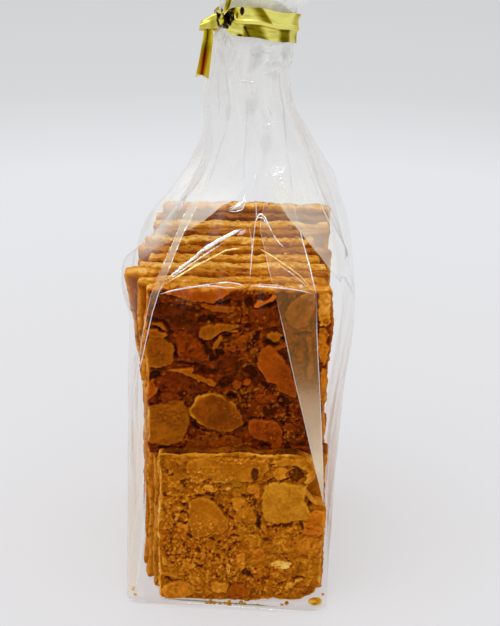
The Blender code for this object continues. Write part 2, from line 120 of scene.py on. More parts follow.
# Flakes of almond on the two front faces: outline in x and z, lift, tone from dark to light, redness, and
# how light the rim is.
UPPER_FLAKES = [
    ([(-26.7, 102.4), (-21.3, 101.8), (-13.8, 101.2), (-13.0, 98.4), (-13.8, 94.3), (-15.1, 91.9),
     (-19.7, 92.8), (-22.6, 95.6), (-27.2, 97.4)], 0.15, 0.23, 0.85, 0.0),
    ([(-19.7, 92.3), (-15.1, 91.9), (-13.4, 90.1), (-11.7, 86.8), (-9.5, 82.5), (-11.7, 83.0), (-16.3, 84.4),
     (-19.7, 84.3), (-20.5, 88.1)], 0.2, 0.38, 1.1, 0.1),
    ([(-13.8, 101.7), (-9.2, 101.7), (-4.2, 101.3), (-2.9, 100.2), (-4.2, 98.8), (-7.1, 99.2),
     (-11.7, 100.1)], 0.55, 0.46, 0.8, 0.3),
    ([(-24.0, 105.3), (-20.9, 106.3), (-14.2, 107.0), (-8.4, 107.0), (-5.1, 106.4), (-4.4, 105.2),
     (-6.7, 103.8), (-9.2, 102.4), (-12.5, 102.2), (-15.9, 102.5), (-19.2, 103.7), (-22.1, 104.5)], 0.9,
     0.59, 1.1, 0.35),
    ([(-28.9, 91.3), (-23.5, 90.9), (-21.8, 89.0), (-20.5, 87.6), (-21.0, 82.4), (-22.3, 81.5),
     (-28.2, 80.5), (-29.5, 83.3)], 0.6, 0.45, 0.4, 0.25),
    ([(-29.1, 93.2), (-26.8, 93.9), (-22.2, 91.8), (-22.8, 90.8), (-24.3, 90.3), (-29.0, 91.1)], 0.75, 0.55,
     0.75, 0.3),
    ([(-27.8, 95.5), (-25.1, 95.7), (-23.4, 94.8), (-22.7, 93.5), (-23.9, 92.9), (-25.1, 94.1),
     (-27.2, 94.5)], 0.8, 0.53, 0.75, 0.3),
    ([(-13.4, 94.3), (-10.0, 95.5), (-5.0, 95.5), (-1.0, 95.3), (-0.6, 94.6), (-2.9, 93.7), (-5.8, 92.5),
     (-8.3, 91.0), (-10.0, 89.9), (-13.4, 90.5), (-14.0, 92.2)], 0.85, 0.46, 0.4, 0.2),
    ([(-9.4, 87.3), (-8.3, 90.1), (-5.0, 93.0), (0.1, 93.8), (0.3, 93.1), (-4.1, 92.3), (-6.6, 90.6),
     (-7.8, 86.4), (-9.1, 86.1)], 0.8, 0.51, 0.55, 0.2),
    ([(-5.8, 89.2), (-2.4, 90.6), (0.1, 91.6), (3.9, 93.5), (3.6, 92.1), (0.6, 89.7), (0.2, 87.4),
     (-3.2, 85.9), (-5.8, 86.8)], 0.4, 0.43, 0.8, 0.15),
    ([(-23.6, 80.0), (-19.3, 80.5), (-15.5, 81.1), (-15.0, 79.6), (-15.9, 78.9), (-12.1, 77.8), (-8.0, 76.4),
     (-8.2, 74.3), (-10.8, 75.4), (-15.1, 77.2), (-18.0, 78.7), (-21.4, 79.6)], 0.9, 0.53, 0.8, 0.45),
    ([(-26.6, 76.7), (-23.6, 79.1), (-20.2, 79.1), (-17.2, 77.7), (-13.4, 76.3), (-11.2, 73.9),
     (-12.1, 72.5), (-15.9, 71.5), (-19.4, 70.5), (-24.5, 71.9), (-26.2, 74.7)], 0.05, 0.32, 1.85, 0.1),
    ([(-29.1, 76.1), (-26.6, 76.7), (-25.7, 74.7), (-25.8, 71.8), (-28.8, 69.4), (-29.4, 71.8)], 0.55, 0.55,
     1.55, 0.1),
    ([(-25.8, 71.8), (-20.2, 72.4), (-18.5, 71.3), (-18.9, 69.9), (-24.9, 69.3)], 0.45, 0.39, 1.35, 0.5),
    ([(-29.7, 67.4), (-24.5, 69.0), (-18.1, 70.5), (-16.4, 69.0), (-15.7, 65.6), (-16.4, 62.2),
     (-17.2, 58.2), (-19.9, 54.7), (-23.8, 54.1), (-29.9, 54.6)], 0.62, 0.49, 0.2, 0.15),
    ([(-17.7, 54.1), (-14.2, 57.3), (-9.9, 58.3), (-4.7, 57.9), (-0.3, 56.9), (0.6, 54.4), (-2.0, 52.4),
     (-17.7, 52.3)], 0.3, 0.43, 0.7, 0.1),
    ([(-16.4, 66.1), (-15.3, 69.0), (-13.8, 71.5), (-10.8, 72.7), (-6.9, 72.3), (-4.4, 70.6), (-2.2, 68.2),
     (-0.4, 65.8), (0.2, 63.3), (-0.4, 61.4), (-3.0, 59.6), (-6.4, 59.3), (-10.3, 60.3), (-13.8, 62.2),
     (-15.5, 64.2)], 1.05, 0.39, 0.45, 1.2),
    ([(0.0, 99.7), (4.2, 100.5), (8.4, 100.5), (9.7, 97.7), (10.6, 94.5), (8.5, 94.4), (5.1, 94.9),
     (1.7, 96.3)], 0.25, 0.35, 1.1, 0.1),
    ([(2.5, 101.1), (3.7, 103.2), (5.0, 102.8), (7.0, 103.7), (9.1, 105.2), (9.4, 103.7), (7.1, 102.1),
     (5.0, 101.4), (2.9, 100.4)], 0.8, 0.65, 1.15, 0.2),
    ([(12.1, 101.0), (13.7, 102.9), (16.6, 104.7), (19.9, 106.2), (20.9, 105.2), (20.7, 100.6), (18.6, 94.6),
     (14.4, 94.1), (12.6, 96.8)], 0.5, 0.49, 0.35, 0.2),
    ([(18.2, 91.3), (20.4, 90.9), (21.0, 77.6), (19.1, 77.1), (18.0, 83.8)], 0.35, 0.41, 0.55, 0.1),
    ([(21.2, 107.0), (25.2, 106.2), (25.7, 100.7), (24.9, 94.7), (21.7, 94.6)], 0.4, 0.77, 0.25, 0.15),
    ([(21.7, 94.2), (24.9, 94.0), (25.1, 81.9), (22.3, 81.4)], 0.25, 0.69, 0.5, 0.1),
    ([(22.2, 81.0), (25.3, 81.0), (25.8, 68.0), (23.6, 66.4)], 0.2, 0.67, 0.4, 0.1),
    ([(23.4, 65.0), (25.7, 65.4), (25.6, 54.0), (24.2, 53.0)], 0.2, 0.65, 0.4, 0.1),
    ([(6.2, 91.7), (7.2, 92.8), (9.3, 93.1), (11.5, 92.2), (11.8, 90.8), (10.3, 89.8), (8.6, 89.5),
     (6.7, 90.3)], 0.9, 0.47, 0.35, 0.35),
    ([(4.0, 83.6), (4.4, 86.5), (6.5, 88.6), (8.6, 87.9), (10.3, 86.5), (12.9, 83.2), (14.8, 78.0),
     (16.2, 73.7), (15.8, 70.3), (12.8, 72.2), (10.2, 73.7), (7.6, 76.0), (5.4, 79.4), (3.6, 81.7)], 0.85,
     0.51, 0.95, 0.25),
    ([(8.4, 87.6), (12.4, 89.6), (12.9, 88.5), (9.7, 86.4)], 0.6, 0.45, 1.05, 0.2),
    ([(4.2, 72.1), (8.5, 72.7), (9.5, 70.7), (6.4, 68.3), (3.7, 68.7)], 0.3, 0.39, 1.3, 0.1),
    ([(1.5, 63.1), (5.2, 63.6), (9.1, 63.2), (11.3, 62.0), (12.3, 58.5), (11.5, 53.0), (9.3, 53.0),
     (6.6, 56.0), (2.3, 56.9)], 0.75, 0.44, 1.2, 0.35),
    ([(12.1, 62.5), (15.6, 62.0), (16.5, 59.6), (13.5, 58.5)], 0.45, 0.39, 1.45, 0.1),
    ([(14.7, 54.3), (21.2, 54.6), (21.5, 52.6), (14.7, 52.6)], 0.5, 0.39, 1.55, 0.3),
    ([(-4.0, 76.2), (-2.3, 77.4), (-0.3, 76.2), (-0.5, 74.3), (-2.7, 73.8)], 0.6, 0.45, 0.95, 0.3),
    ([(-0.1, 77.2), (1.6, 77.4), (2.2, 76.0), (0.7, 74.8), (-0.2, 75.5)], 0.6, 0.45, 1.15, 0.3),
    ([(-3.7, 73.5), (-1.8, 73.8), (-1.5, 72.8), (-2.7, 72.5)], 0.5, 0.51, 0.55, 0.2),
    ([(13.4, 64.4), (16.8, 65.9), (18.6, 62.0), (16.5, 60.5)], 0.3, 0.39, 1.15, 0.1),
    ([(17.0, 73.2), (19.6, 72.3), (20.7, 66.0), (19.4, 65.5), (17.8, 69.4)], 0.3, 0.39, 1.15, 0.1),
    ([(-8.3, 83.5), (-2.4, 85.5), (-0.4, 83.6), (-0.6, 79.3), (-4.8, 78.3), (-8.3, 79.7)], -0.2, 0.22, 0.85,
     0.0),
    ([(0.6, 83.6), (3.2, 81.7), (6.3, 77.0), (3.7, 74.1), (1.1, 77.4)], -0.1, 0.19, 1.35, 0.0),
    ([(-8.4, 98.5), (-4.2, 98.8), (-0.8, 97.2), (-1.6, 95.8), (-6.7, 95.8)], 0.3, 0.37, 1.05, 0.1),
]
# Holes: x, z, half length, half width, turn, depth.
UPPER_HOLES = [
    (-11.6, 96.6, 2.1, 1.3, 10, 1.2), (-9.2, 97.0, 1.4, 1.2, 0, 1.1), (-6.8, 96.6, 1.1, 0.7, 0, 0.9),
    (-15.0, 99.6, 1.7, 0.9, 0, 0.5), (-6.3, 102.3, 2.3, 0.7, 12, 0.9), (-26.4, 96.6, 2.2, 0.8, -14, 0.8),
    (-23.2, 94.9, 2.1, 0.7, -52, 1.1), (-21.9, 92.6, 1.0, 0.8, 0, 0.8), (-25.6, 93.7, 2.2, 0.4, -24, 0.7),
    (-4.9, 91.7, 1.5, 0.95, 14, 1.3), (-0.9, 93.2, 0.9, 0.5, 0, 0.9), (-7.1, 85.8, 1.4, 1.1, 0, 1.3),
    (-12.3, 89.4, 1.2, 0.6, -60, 0.9), (-10.6, 86.4, 2.6, 0.9, -60, 0.7), (-8.8, 84.2, 1.6, 0.9, 0, 0.8),
    (-20.2, 86.0, 2.7, 0.5, -74, 0.9), (-17.6, 82.2, 2.6, 0.6, -6, 1.1), (-13.6, 81.6, 2.6, 0.9, -18, 0.9),
    (-11.0, 79.4, 3.4, 1.2, -8, 0.8), (-26.9, 78.0, 1.8, 1.3, 28, 1.2), (-23.4, 74.0, 0.8, 0.5, 0, 0.6),
    (-25.5, 71.8, 0.6, 1.1, 0, 0.8), (-18.0, 71.9, 1.8, 0.9, 10, 0.9), (-17.0, 68.4, 1.5, 0.5, -66, 0.9),
    (-28.0, 68.9, 1.5, 0.6, -10, 0.6), (-5.6, 75.8, 2.2, 1.7, 40, 1.1), (-3.4, 71.6, 1.4, 1.0, -20, 1.1),
    (-14.4, 61.0, 1.9, 0.9, -42, 1.2), (-11.4, 59.4, 1.3, 0.5, -20, 0.9), (-16.1, 57.4, 0.7, 0.3, 0, 0.7),
    (-23.8, 53.2, 2.2, 0.7, -6, 0.9), (-18.6, 52.9, 1.2, 0.8, 0, 0.9), (-6.4, 57.4, 0.8, 0.6, 0, 0.7),
    (1.2, 102.0, 1.5, 1.9, 0, 1.1), (6.0, 105.2, 1.9, 0.5, 26, 0.8), (7.8, 101.7, 2.2, 1.1, 12, 1.0),
    (1.2, 94.9, 1.2, 0.9, 0, 1.0), (3.4, 90.6, 2.8, 0.8, 72, 0.8), (11.4, 90.5, 0.9, 0.8, 0, 1.2),
    (7.6, 89.2, 2.4, 0.6, -14, 1.0), (17.2, 92.2, 2.8, 0.6, 6, 0.8), (18.5, 83.6, 0.5, 7.0, 2, 0.6),
    (2.0, 79.6, 2.4, 1.5, -40, 1.1), (6.4, 75.4, 2.1, 0.9, -46, 0.9), (0.5, 74.6, 1.4, 0.5, 0, 0.8),
    (1.6, 71.2, 2.4, 1.5, 10, 0.7), (0.9, 67.4, 0.7, 0.5, 0, 0.7), (8.2, 66.6, 2.6, 1.9, 24, 1.0),
    (12.2, 69.4, 3.0, 1.8, -50, 1.1), (13.8, 65.6, 1.1, 1.6, 0, 1.1), (4.6, 63.8, 3.0, 0.5, 4, 1.0),
    (0.6, 61.4, 0.7, 1.2, 0, 0.8), (12.2, 62.4, 1.6, 0.5, -48, 0.8), (16.6, 58.0, 0.7, 0.9, 0, 1.0),
    (13.6, 53.6, 1.2, 1.8, 10, 0.9), (6.6, 55.0, 2.6, 1.2, 0, 0.4), (-1.4, 52.3, 3.8, 0.5, 0, 1.0),
    (16.2, 63.6, 0.9, 1.4, 20, 0.8), (19.4, 60.4, 0.8, 2.2, 18, 0.7),
]
# Drifts of crumb over the faces: x, z, half length, half width, turn, amount.
UPPER_DRIFTS = [
    (-17.4, 102.4, 4.6, 0.9, -6, 1.0), (-23.0, 103.9, 2.2, 0.5, -14, 0.8), (-2.6, 97.6, 2.0, 3.4, 20, 0.8),
    (3.6, 106.0, 5.4, 1.2, 0, 1.0), (-5.0, 90.0, 1.3, 0.45, 0, 1.0), (3.3, 86.0, 1.7, 2.2, 10, 1.0),
    (0.2, 98.6, 0.7, 2.6, 0, 0.8), (-22.6, 64.4, 3.8, 1.6, -10, 0.8), (-23.4, 68.4, 2.0, 0.8, 10, 0.7),
    (-7.4, 58.0, 2.4, 1.6, 0, 0.7), (-11.0, 59.0, 2.8, 0.6, -10, 0.8), (10.0, 72.8, 1.2, 1.6, 0, 1.0),
    (13.0, 64.2, 3.8, 1.4, 0, 1.0), (15.2, 58.6, 3.8, 2.4, 0, 0.9), (-1.6, 70.4, 0.8, 1.6, 0, 0.9),
    (2.0, 72.8, 3.0, 1.8, 0, 0.6), (-26.4, 86.4, 2.2, 1.8, 0, 0.5), (0.0, 54.0, 3.4, 1.4, 0, 0.8),
    (6.6, 72.8, 0.7, 0.9, 0, 0.8), (-9.2, 81.4, 0.9, 1.1, 0, 0.6), (23.6, 97.0, 1.0, 1.6, 0, 0.4),
    (0.6, 84.6, 2.0, 3.0, 0, 0.5), (-17.6, 56.6, 2.4, 1.0, 20, 0.6),
]

LOWER_FLAKES = [
    ([(-16.5, 51.1), (-15.0, 52.3), (-9.8, 53.0), (-4.6, 52.7), (0.6, 52.2), (4.9, 51.8), (7.3, 50.6),
     (8.4, 48.8), (6.7, 46.8), (5.9, 44.3), (2.4, 43.7), (-1.9, 44.2), (-4.6, 44.2), (-8.0, 43.6),
     (-10.6, 44.6), (-13.3, 43.1), (-15.0, 43.6), (-17.2, 46.6), (-17.6, 49.1)], 0.6, 0.61, 0.1, 0.2),
    ([(8.1, 50.6), (11.5, 52.4), (16.5, 52.6), (19.9, 52.0), (22.4, 49.1), (22.3, 44.9), (20.4, 42.4),
     (18.9, 43.5), (19.7, 46.1), (19.2, 48.4), (16.4, 49.9), (12.4, 49.7), (9.2, 49.0)], 0.675, 0.659, 0.1,
     0.3),
    ([(8.9, 47.3), (10.3, 49.0), (12.8, 49.3), (14.1, 48.0), (12.9, 46.6), (14.0, 45.4), (11.6, 44.8),
     (9.5, 45.8)], 0.525, 0.701, 0.2, 0.1),
    ([(6.3, 43.6), (11.7, 44.0), (19.1, 43.5), (19.8, 40.3), (20.6, 36.6), (20.9, 32.8), (19.6, 30.6),
     (15.4, 29.6), (12.0, 29.1), (6.6, 29.8), (6.0, 33.0), (6.1, 38.0)], 0.6, 0.673, -0.3, 0.1),
    ([(18.9, 29.6), (20.2, 33.2), (25.4, 34.3), (26.0, 30.7), (25.7, 24.5), (22.2, 25.0), (18.6, 25.4)],
     0.45, 0.687, 0.65, 0.2),
    ([(2.8, 18.0), (5.0, 20.6), (7.2, 20.1), (7.9, 16.4), (6.4, 13.3), (4.2, 14.3)], 0.1875, 0.673, 0.4,
     0.1),
    ([(-16.8, 33.4), (-16.3, 36.5), (-13.7, 38.3), (-10.2, 38.1), (-7.6, 36.0), (-5.8, 33.0), (-4.4, 29.9),
     (-4.0, 27.3), (-6.2, 25.7), (-9.7, 25.2), (-13.2, 23.6), (-15.0, 23.6), (-16.1, 27.2)], 0.7125, 0.603,
     0.15, 0.2),
    ([(-4.1, 38.1), (-1.0, 38.6), (2.1, 36.6), (3.9, 33.6), (4.4, 30.0), (1.7, 28.9), (-0.9, 31.5),
     (-2.7, 35.1)], 0.525, 0.617, 0.1, 0.2),
    ([(-11.9, 42.1), (-9.8, 43.6), (-7.2, 42.1), (-6.2, 41.1), (-8.9, 40.0), (-11.5, 41.0)], 0.375, 0.722,
     0.0, 0.1),
    ([(-3.7, 43.7), (-1.9, 44.7), (-0.2, 43.7), (-0.6, 42.2), (-2.8, 42.2)], 0.15, 0.533, -0.6, 0.0),
    ([(-9.4, 4.0), (-9.2, 7.2), (-7.4, 8.1), (-4.3, 7.3), (-4.5, 4.1), (-6.0, 3.0)], 0.5625, 0.743, 0.1,
     0.1),
    ([(-4.0, 3.0), (-3.8, 6.8), (-2.5, 8.4), (0.2, 8.1), (2.0, 5.7), (3.0, 2.5), (0.3, 1.4), (-2.9, 1.9)],
     0.1875, 0.575, 0.7, 0.1),
    ([(-24.9, 2.8), (-24.0, 6.6), (-21.3, 7.9), (-17.3, 7.4), (-14.1, 5.6), (-13.7, 2.4), (-19.5, 1.5),
     (-24.0, 1.7)], 0.3, 0.652, 0.25, 0.1),
    ([(-4.8, 14.2), (-3.4, 14.2), (-3.6, 10.5), (-5.0, 10.5)], 0.45, 0.785, -0.1, 0.1),
    ([(13.7, 6.4), (16.4, 8.3), (19.0, 9.0), (19.6, 8.0), (17.3, 6.4), (14.7, 4.8)], 0.375, 0.722, 0.2, 0.1),
    # This pale patch is a painted reflection of the film in front of the tuile.
    ([(8.8, 14.1), (11.0, 15.7), (14.4, 15.7), (16.2, 14.2), (14.5, 12.4), (11.0, 12.1)], 0.075, 0.869, -0.3,
     0.0),
    ([(-11.5, 12.6), (-10.1, 12.3), (-9.9, 7.2), (-11.0, 6.7)], 0.375, 0.694, 0.1, 0.1),
    ([(-24.8, 17.7), (-22.6, 15.1), (-20.8, 13.5), (-22.2, 12.5), (-24.8, 14.0)], 0.225, 0.687, 0.1, 0.1),
    ([(-18.1, 14.6), (-15.0, 15.2), (-14.1, 12.5), (-16.4, 10.9), (-19.0, 12.0)], 0.225, 0.659, 0.15, 0.1),
    ([(-2.1, 17.4), (1.0, 18.5), (1.5, 15.3), (-1.2, 12.7)], 0.2625, 0.659, 0.3, 0.1),
    ([(13.8, 22.8), (19.5, 23.9), (24.4, 23.9), (24.6, 19.2), (19.7, 16.5), (14.8, 19.1)], 0.1125, 0.645,
     0.25, 0.0),
    ([(0.7, 42.2), (5.0, 43.3), (5.5, 40.2), (2.5, 39.2)], 0.3, 0.673, 0.2, 0.1),
    ([(-8.0, 44.1), (-6.3, 44.7), (-4.7, 43.9), (-6.3, 43.2)], 0.3, 0.785, -0.6, 0.1),
]
LOWER_HOLES = [
    (3.7, 46.8, 2.4, 1.25, 84, 0.8), (16.6, 46.5, 2.5, 2.2, -20, 1.2), (20.6, 40.4, 1.0, 3.0, 4, 1.1),
    (5.0, 30.0, 0.8, 3.4, 4, 0.8), (11.6, 28.4, 4.6, 0.6, 4, 0.7), (8.6, 44.4, 1.6, 0.5, 60, 0.8),
    (-18.3, 43.6, 1.0, 0.7, 30, 0.7), (-20.9, 46.4, 0.5, 0.5, 0, 0.5), (-10.0, 45.0, 0.9, 0.4, 0, 0.5),
    (-16.2, 38.8, 0.5, 0.45, 0, 0.6), (-17.8, 35.7, 0.6, 0.5, 0, 0.6), (-18.2, 32.6, 1.0, 0.7, 20, 0.7),
    (-18.8, 30.0, 1.0, 0.8, 0, 0.7), (-17.2, 29.2, 0.8, 0.7, 0, 0.8), (-16.4, 24.8, 1.4, 0.6, -62, 0.8),
    (-21.6, 26.5, 0.5, 0.7, 0, 0.6), (-20.4, 28.5, 0.6, 0.5, 0, 0.6), (-17.5, 20.6, 1.0, 0.5, -50, 0.7),
    (-18.4, 22.4, 1.6, 0.4, -60, 0.6), (-19.7, 17.2, 0.7, 0.5, 0, 0.6), (-21.5, 14.4, 0.6, 0.5, 0, 0.6),
    (-16.0, 16.7, 0.7, 0.4, 0, 0.6), (-12.9, 13.0, 1.1, 0.5, 0, 0.6), (-6.2, 13.0, 1.1, 0.8, 0, 0.6),
    (-3.5, 17.2, 0.7, 2.5, 0, 0.7), (-6.3, 35.2, 0.9, 0.5, -30, 0.8), (-4.8, 33.2, 0.5, 0.9, -20, 0.7),
    (-3.4, 31.2, 1.0, 0.6, -40, 0.6), (-2.6, 27.2, 0.8, 0.7, 0, 0.8), (-2.2, 24.6, 1.4, 0.5, 0, 0.7),
    (1.4, 39.0, 1.5, 0.6, -10, 0.7), (4.3, 36.4, 0.5, 1.2, 0, 0.6), (4.6, 28.6, 0.7, 1.1, 10, 0.8),
    (1.6, 11.2, 1.1, 1.6, 30, 0.8), (2.8, 9.8, 1.2, 0.5, 0, 0.6), (-22.9, 8.4, 1.4, 0.5, -30, 0.7),
    (-19.6, 8.3, 1.6, 0.35, 0, 0.6), (-10.2, 39.3, 1.6, 0.6, -20, 0.9), (-13.4, 38.9, 1.7, 0.4, 0, 0.8),
    (7.1, 7.0, 0.6, 0.6, 0, 0.5), (12.6, 7.2, 2.2, 0.35, 16, 0.6), (18.0, 9.2, 2.4, 0.35, 12, 0.6),
    (10.8, 27.1, 0.4, 0.5, 0, 0.5), (18.4, 28.4, 0.7, 1.6, 14, 0.8), (17.8, 25.4, 0.6, 0.5, 0, 0.5),
    (7.3, 23.2, 1.2, 0.9, 0, 0.4), (13.6, 45.2, 1.7, 0.5, 10, 1.0), (15.2, 46.8, 0.7, 1.1, 20, 0.9),
    (9.0, 50.0, 0.9, 0.4, 20, 0.8), (-9.4, 23.0, 1.0, 0.5, -20, 0.6), (-7.0, 22.2, 0.7, 0.6, 0, 0.5),
    (-23.6, 39.2, 1.2, 0.8, 0, 0.3), (-19.4, 38.2, 1.0, 0.6, 0, 0.3), (-22.6, 18.0, 0.8, 1.4, 0, 0.4),
    (-3.4, 6.6, 0.5, 1.0, 0, 0.6), (-8.6, 9.8, 1.6, 0.9, 0, 0.4), (6.6, 4.0, 0.6, 0.7, 0, 0.5),
    (20.6, 37.6, 1.0, 2.4, 10, 0.6), (-13.2, 18.6, 0.5, 0.9, 0, 0.5), (-7.4, 17.0, 1.0, 0.5, -40, 0.5),
]
# Where the crust is full of small gaps: x, z, half length, half width, turn, amount.
LOWER_WORN = [
    (-18.0, 22.0, 5.6, 13.0, 0, 1.0), (-4.6, 21.0, 5.4, 9.0, 15, 0.9), (-3.0, 11.0, 17.0, 4.6, 0, 0.8),
    (-13.0, 41.5, 7.0, 3.0, 0, 0.5), (-20.0, 35.0, 3.4, 6.0, 0, 0.7), (2.6, 33.0, 3.2, 6.0, 0, 0.5),
    (16.0, 6.0, 5.0, 3.0, 10, 0.5),
]
UPPER_WORN = [(-1.0, 70.0, 5.0, 5.0, 0, 0.6), (10.0, 66.0, 6.0, 6.0, 0, 0.6), (3.0, 96.0, 5.0, 7.0, 0, 0.5)]
LOWER_DRIFTS = [
    (-14.0, 46.6, 3.4, 3.0, 0, 0.7), (-11.6, 40.3, 2.4, 0.5, 0, 0.9), (-11.4, 28.4, 3.2, 2.2, 0, 0.7),
    (-12.4, 22.8, 2.0, 0.7, 10, 0.9), (-5.6, 37.4, 1.2, 1.8, 20, 0.8), (-2.8, 28.8, 1.0, 2.0, 10, 0.8),
    (-4.0, 44.8, 1.8, 1.4, 0, 0.6), (0.0, 51.4, 8.0, 1.0, 0, 0.9), (8.0, 4.2, 3.0, 1.4, 0, 0.6),
    (12.6, 5.0, 3.0, 0.8, 10, 0.8), (-19.6, 33.0, 3.6, 8.0, 0, 0.5), (-17.4, 17.6, 6.0, 4.6, 0, 0.6),
    (-13.4, 4.2, 1.0, 1.0, 0, 0.6), (9.0, 28.6, 4.0, 0.9, 0, 0.6), (18.2, 25.6, 2.6, 0.8, 0, 0.7),
]


def ramp(value, low, high):
    """A smooth step from 0 at low to 1 at high."""
    share = np.clip((value - low) / (high - low), 0.0, 1.0)
    return share * share * (3.0 - 2.0 * share)


def bell(value, width):
    """1 where the value is 0, falling smoothly to 0 some way past the width."""
    return np.exp(-((value / width) ** 2))


def lattice(ix, iy, iz, seed):
    """A fixed random number from 0 to 1 for each corner of a lattice."""
    key = (ix * 73856093) ^ (iy * 19349663) ^ (iz * 83492791) ^ (seed * 668265263)
    key = key & 0xFFFFFFFF
    key = ((key ^ (key >> 15)) * 739982445) & 0xFFFFFFFF
    key = ((key ^ (key >> 12)) * 695872825) & 0xFFFFFFFF
    return ((key ^ (key >> 16)) & 0xFFFF) / 65535.0


def cloud(x, y, z, size, seed):
    """Smooth noise from -1 to 1, with lumps of about the given size."""
    places = np.broadcast_arrays(x / size, y / size, z / size)
    corners = [np.floor(place).astype(np.int64) for place in places]
    parts = [place - corner for place, corner in zip(places, corners)]
    parts = [part * part * (3.0 - 2.0 * part) for part in parts]
    total = 0.0
    for dx in (0, 1):
        for dy in (0, 1):
            for dz in (0, 1):
                weight = 1.0
                for step, part in zip((dx, dy, dz), parts):
                    weight = weight * (part if step else 1.0 - part)
                total = total + weight * lattice(corners[0] + dx, corners[1] + dy, corners[2] + dz, seed)
    return 2.0 * total - 1.0


def grains(x, z, size, seed):
    """How near each point is to the nearest of many scattered grains, from 1 to 0, and its own number."""
    ix, iz = np.floor(x / size).astype(np.int64), np.floor(z / size).astype(np.int64)
    nearest = np.full(np.shape(x), 9.0)
    own = np.zeros(np.shape(x))
    for dx in (-1, 0, 1):
        for dz in (-1, 0, 1):
            gx = ix + dx + 0.15 + 0.7 * lattice(ix + dx, iz + dz, 1, seed)
            gz = iz + dz + 0.15 + 0.7 * lattice(ix + dx, iz + dz, 2, seed)
            away = np.hypot(x / size - gx, z / size - gz)
            closer = away < nearest
            nearest = np.where(closer, away, nearest)
            own = np.where(closer, lattice(ix + dx, iz + dz, 3, seed), own)
    return np.clip(1.0 - nearest, 0.0, 1.0), own


def oval_outline(x, z, long, wide, turn, seed, corners=12):
    """A slightly ragged oval as an outline."""
    draw = np.random.default_rng(seed)
    angles = 2.0 * math.pi * (np.arange(corners) + draw.uniform(-0.3, 0.3, corners)) / corners
    reach = draw.uniform(0.84, 1.14, corners)
    along, across = long * reach * np.cos(angles), wide * reach * np.sin(angles)
    cos, sin = math.cos(math.radians(turn)), math.sin(math.radians(turn))
    return np.stack([x + along * cos - across * sin, z + along * sin + across * cos], axis=1)


def depth_inside(x, z, outline, reach=1.6):
    """How far each point is inside an outline with softened corners; negative outside, to the reach."""
    corners = np.asarray(outline, float)
    for _ in range(2):
        following = np.roll(corners, -1, axis=0)
        corners = np.stack([0.8 * corners + 0.2 * following, 0.2 * corners + 0.8 * following], axis=1)
        corners = corners.reshape(-1, 2)
    low, high = corners.min(axis=0) - reach, corners.max(axis=0) + reach
    close = (x > low[0]) & (x < high[0]) & (z > low[1]) & (z < high[1])
    px, pz = x[close], z[close]
    nearest = np.full(px.shape, reach)
    inside = np.zeros(px.shape, bool)
    for (ax, az), (bx, bz) in zip(corners, np.roll(corners, -1, axis=0)):
        run, rise = bx - ax, bz - az
        share = ((px - ax) * run + (pz - az) * rise) / max(run**2 + rise**2, 1e-9)
        share = np.clip(share, 0.0, 1.0)
        nearest = np.minimum(nearest, np.hypot(px - ax - share * run, pz - az - share * rise))
        crossed = ((az > pz) != (bz > pz)) & (px < ax + (pz - az) * run / (rise if rise else 1e-9))
        inside = inside ^ crossed
    depth = np.full(x.shape, -reach)
    depth[close] = np.where(inside, nearest, -nearest)
    return depth


def oval_patches(x, z, ovals, seed, reach, low, high):
    """The amount of the strongest oval at each point, where each fades between two depths at its edge."""
    most = np.zeros_like(x)
    for number, (middle_x, middle_z, long, wide, turn, amount) in enumerate(ovals):
        outline = oval_outline(middle_x, middle_z, long, wide, turn, seed + number)
        most = np.maximum(most, amount * ramp(depth_inside(x, z, outline, reach), low, high))
    return most


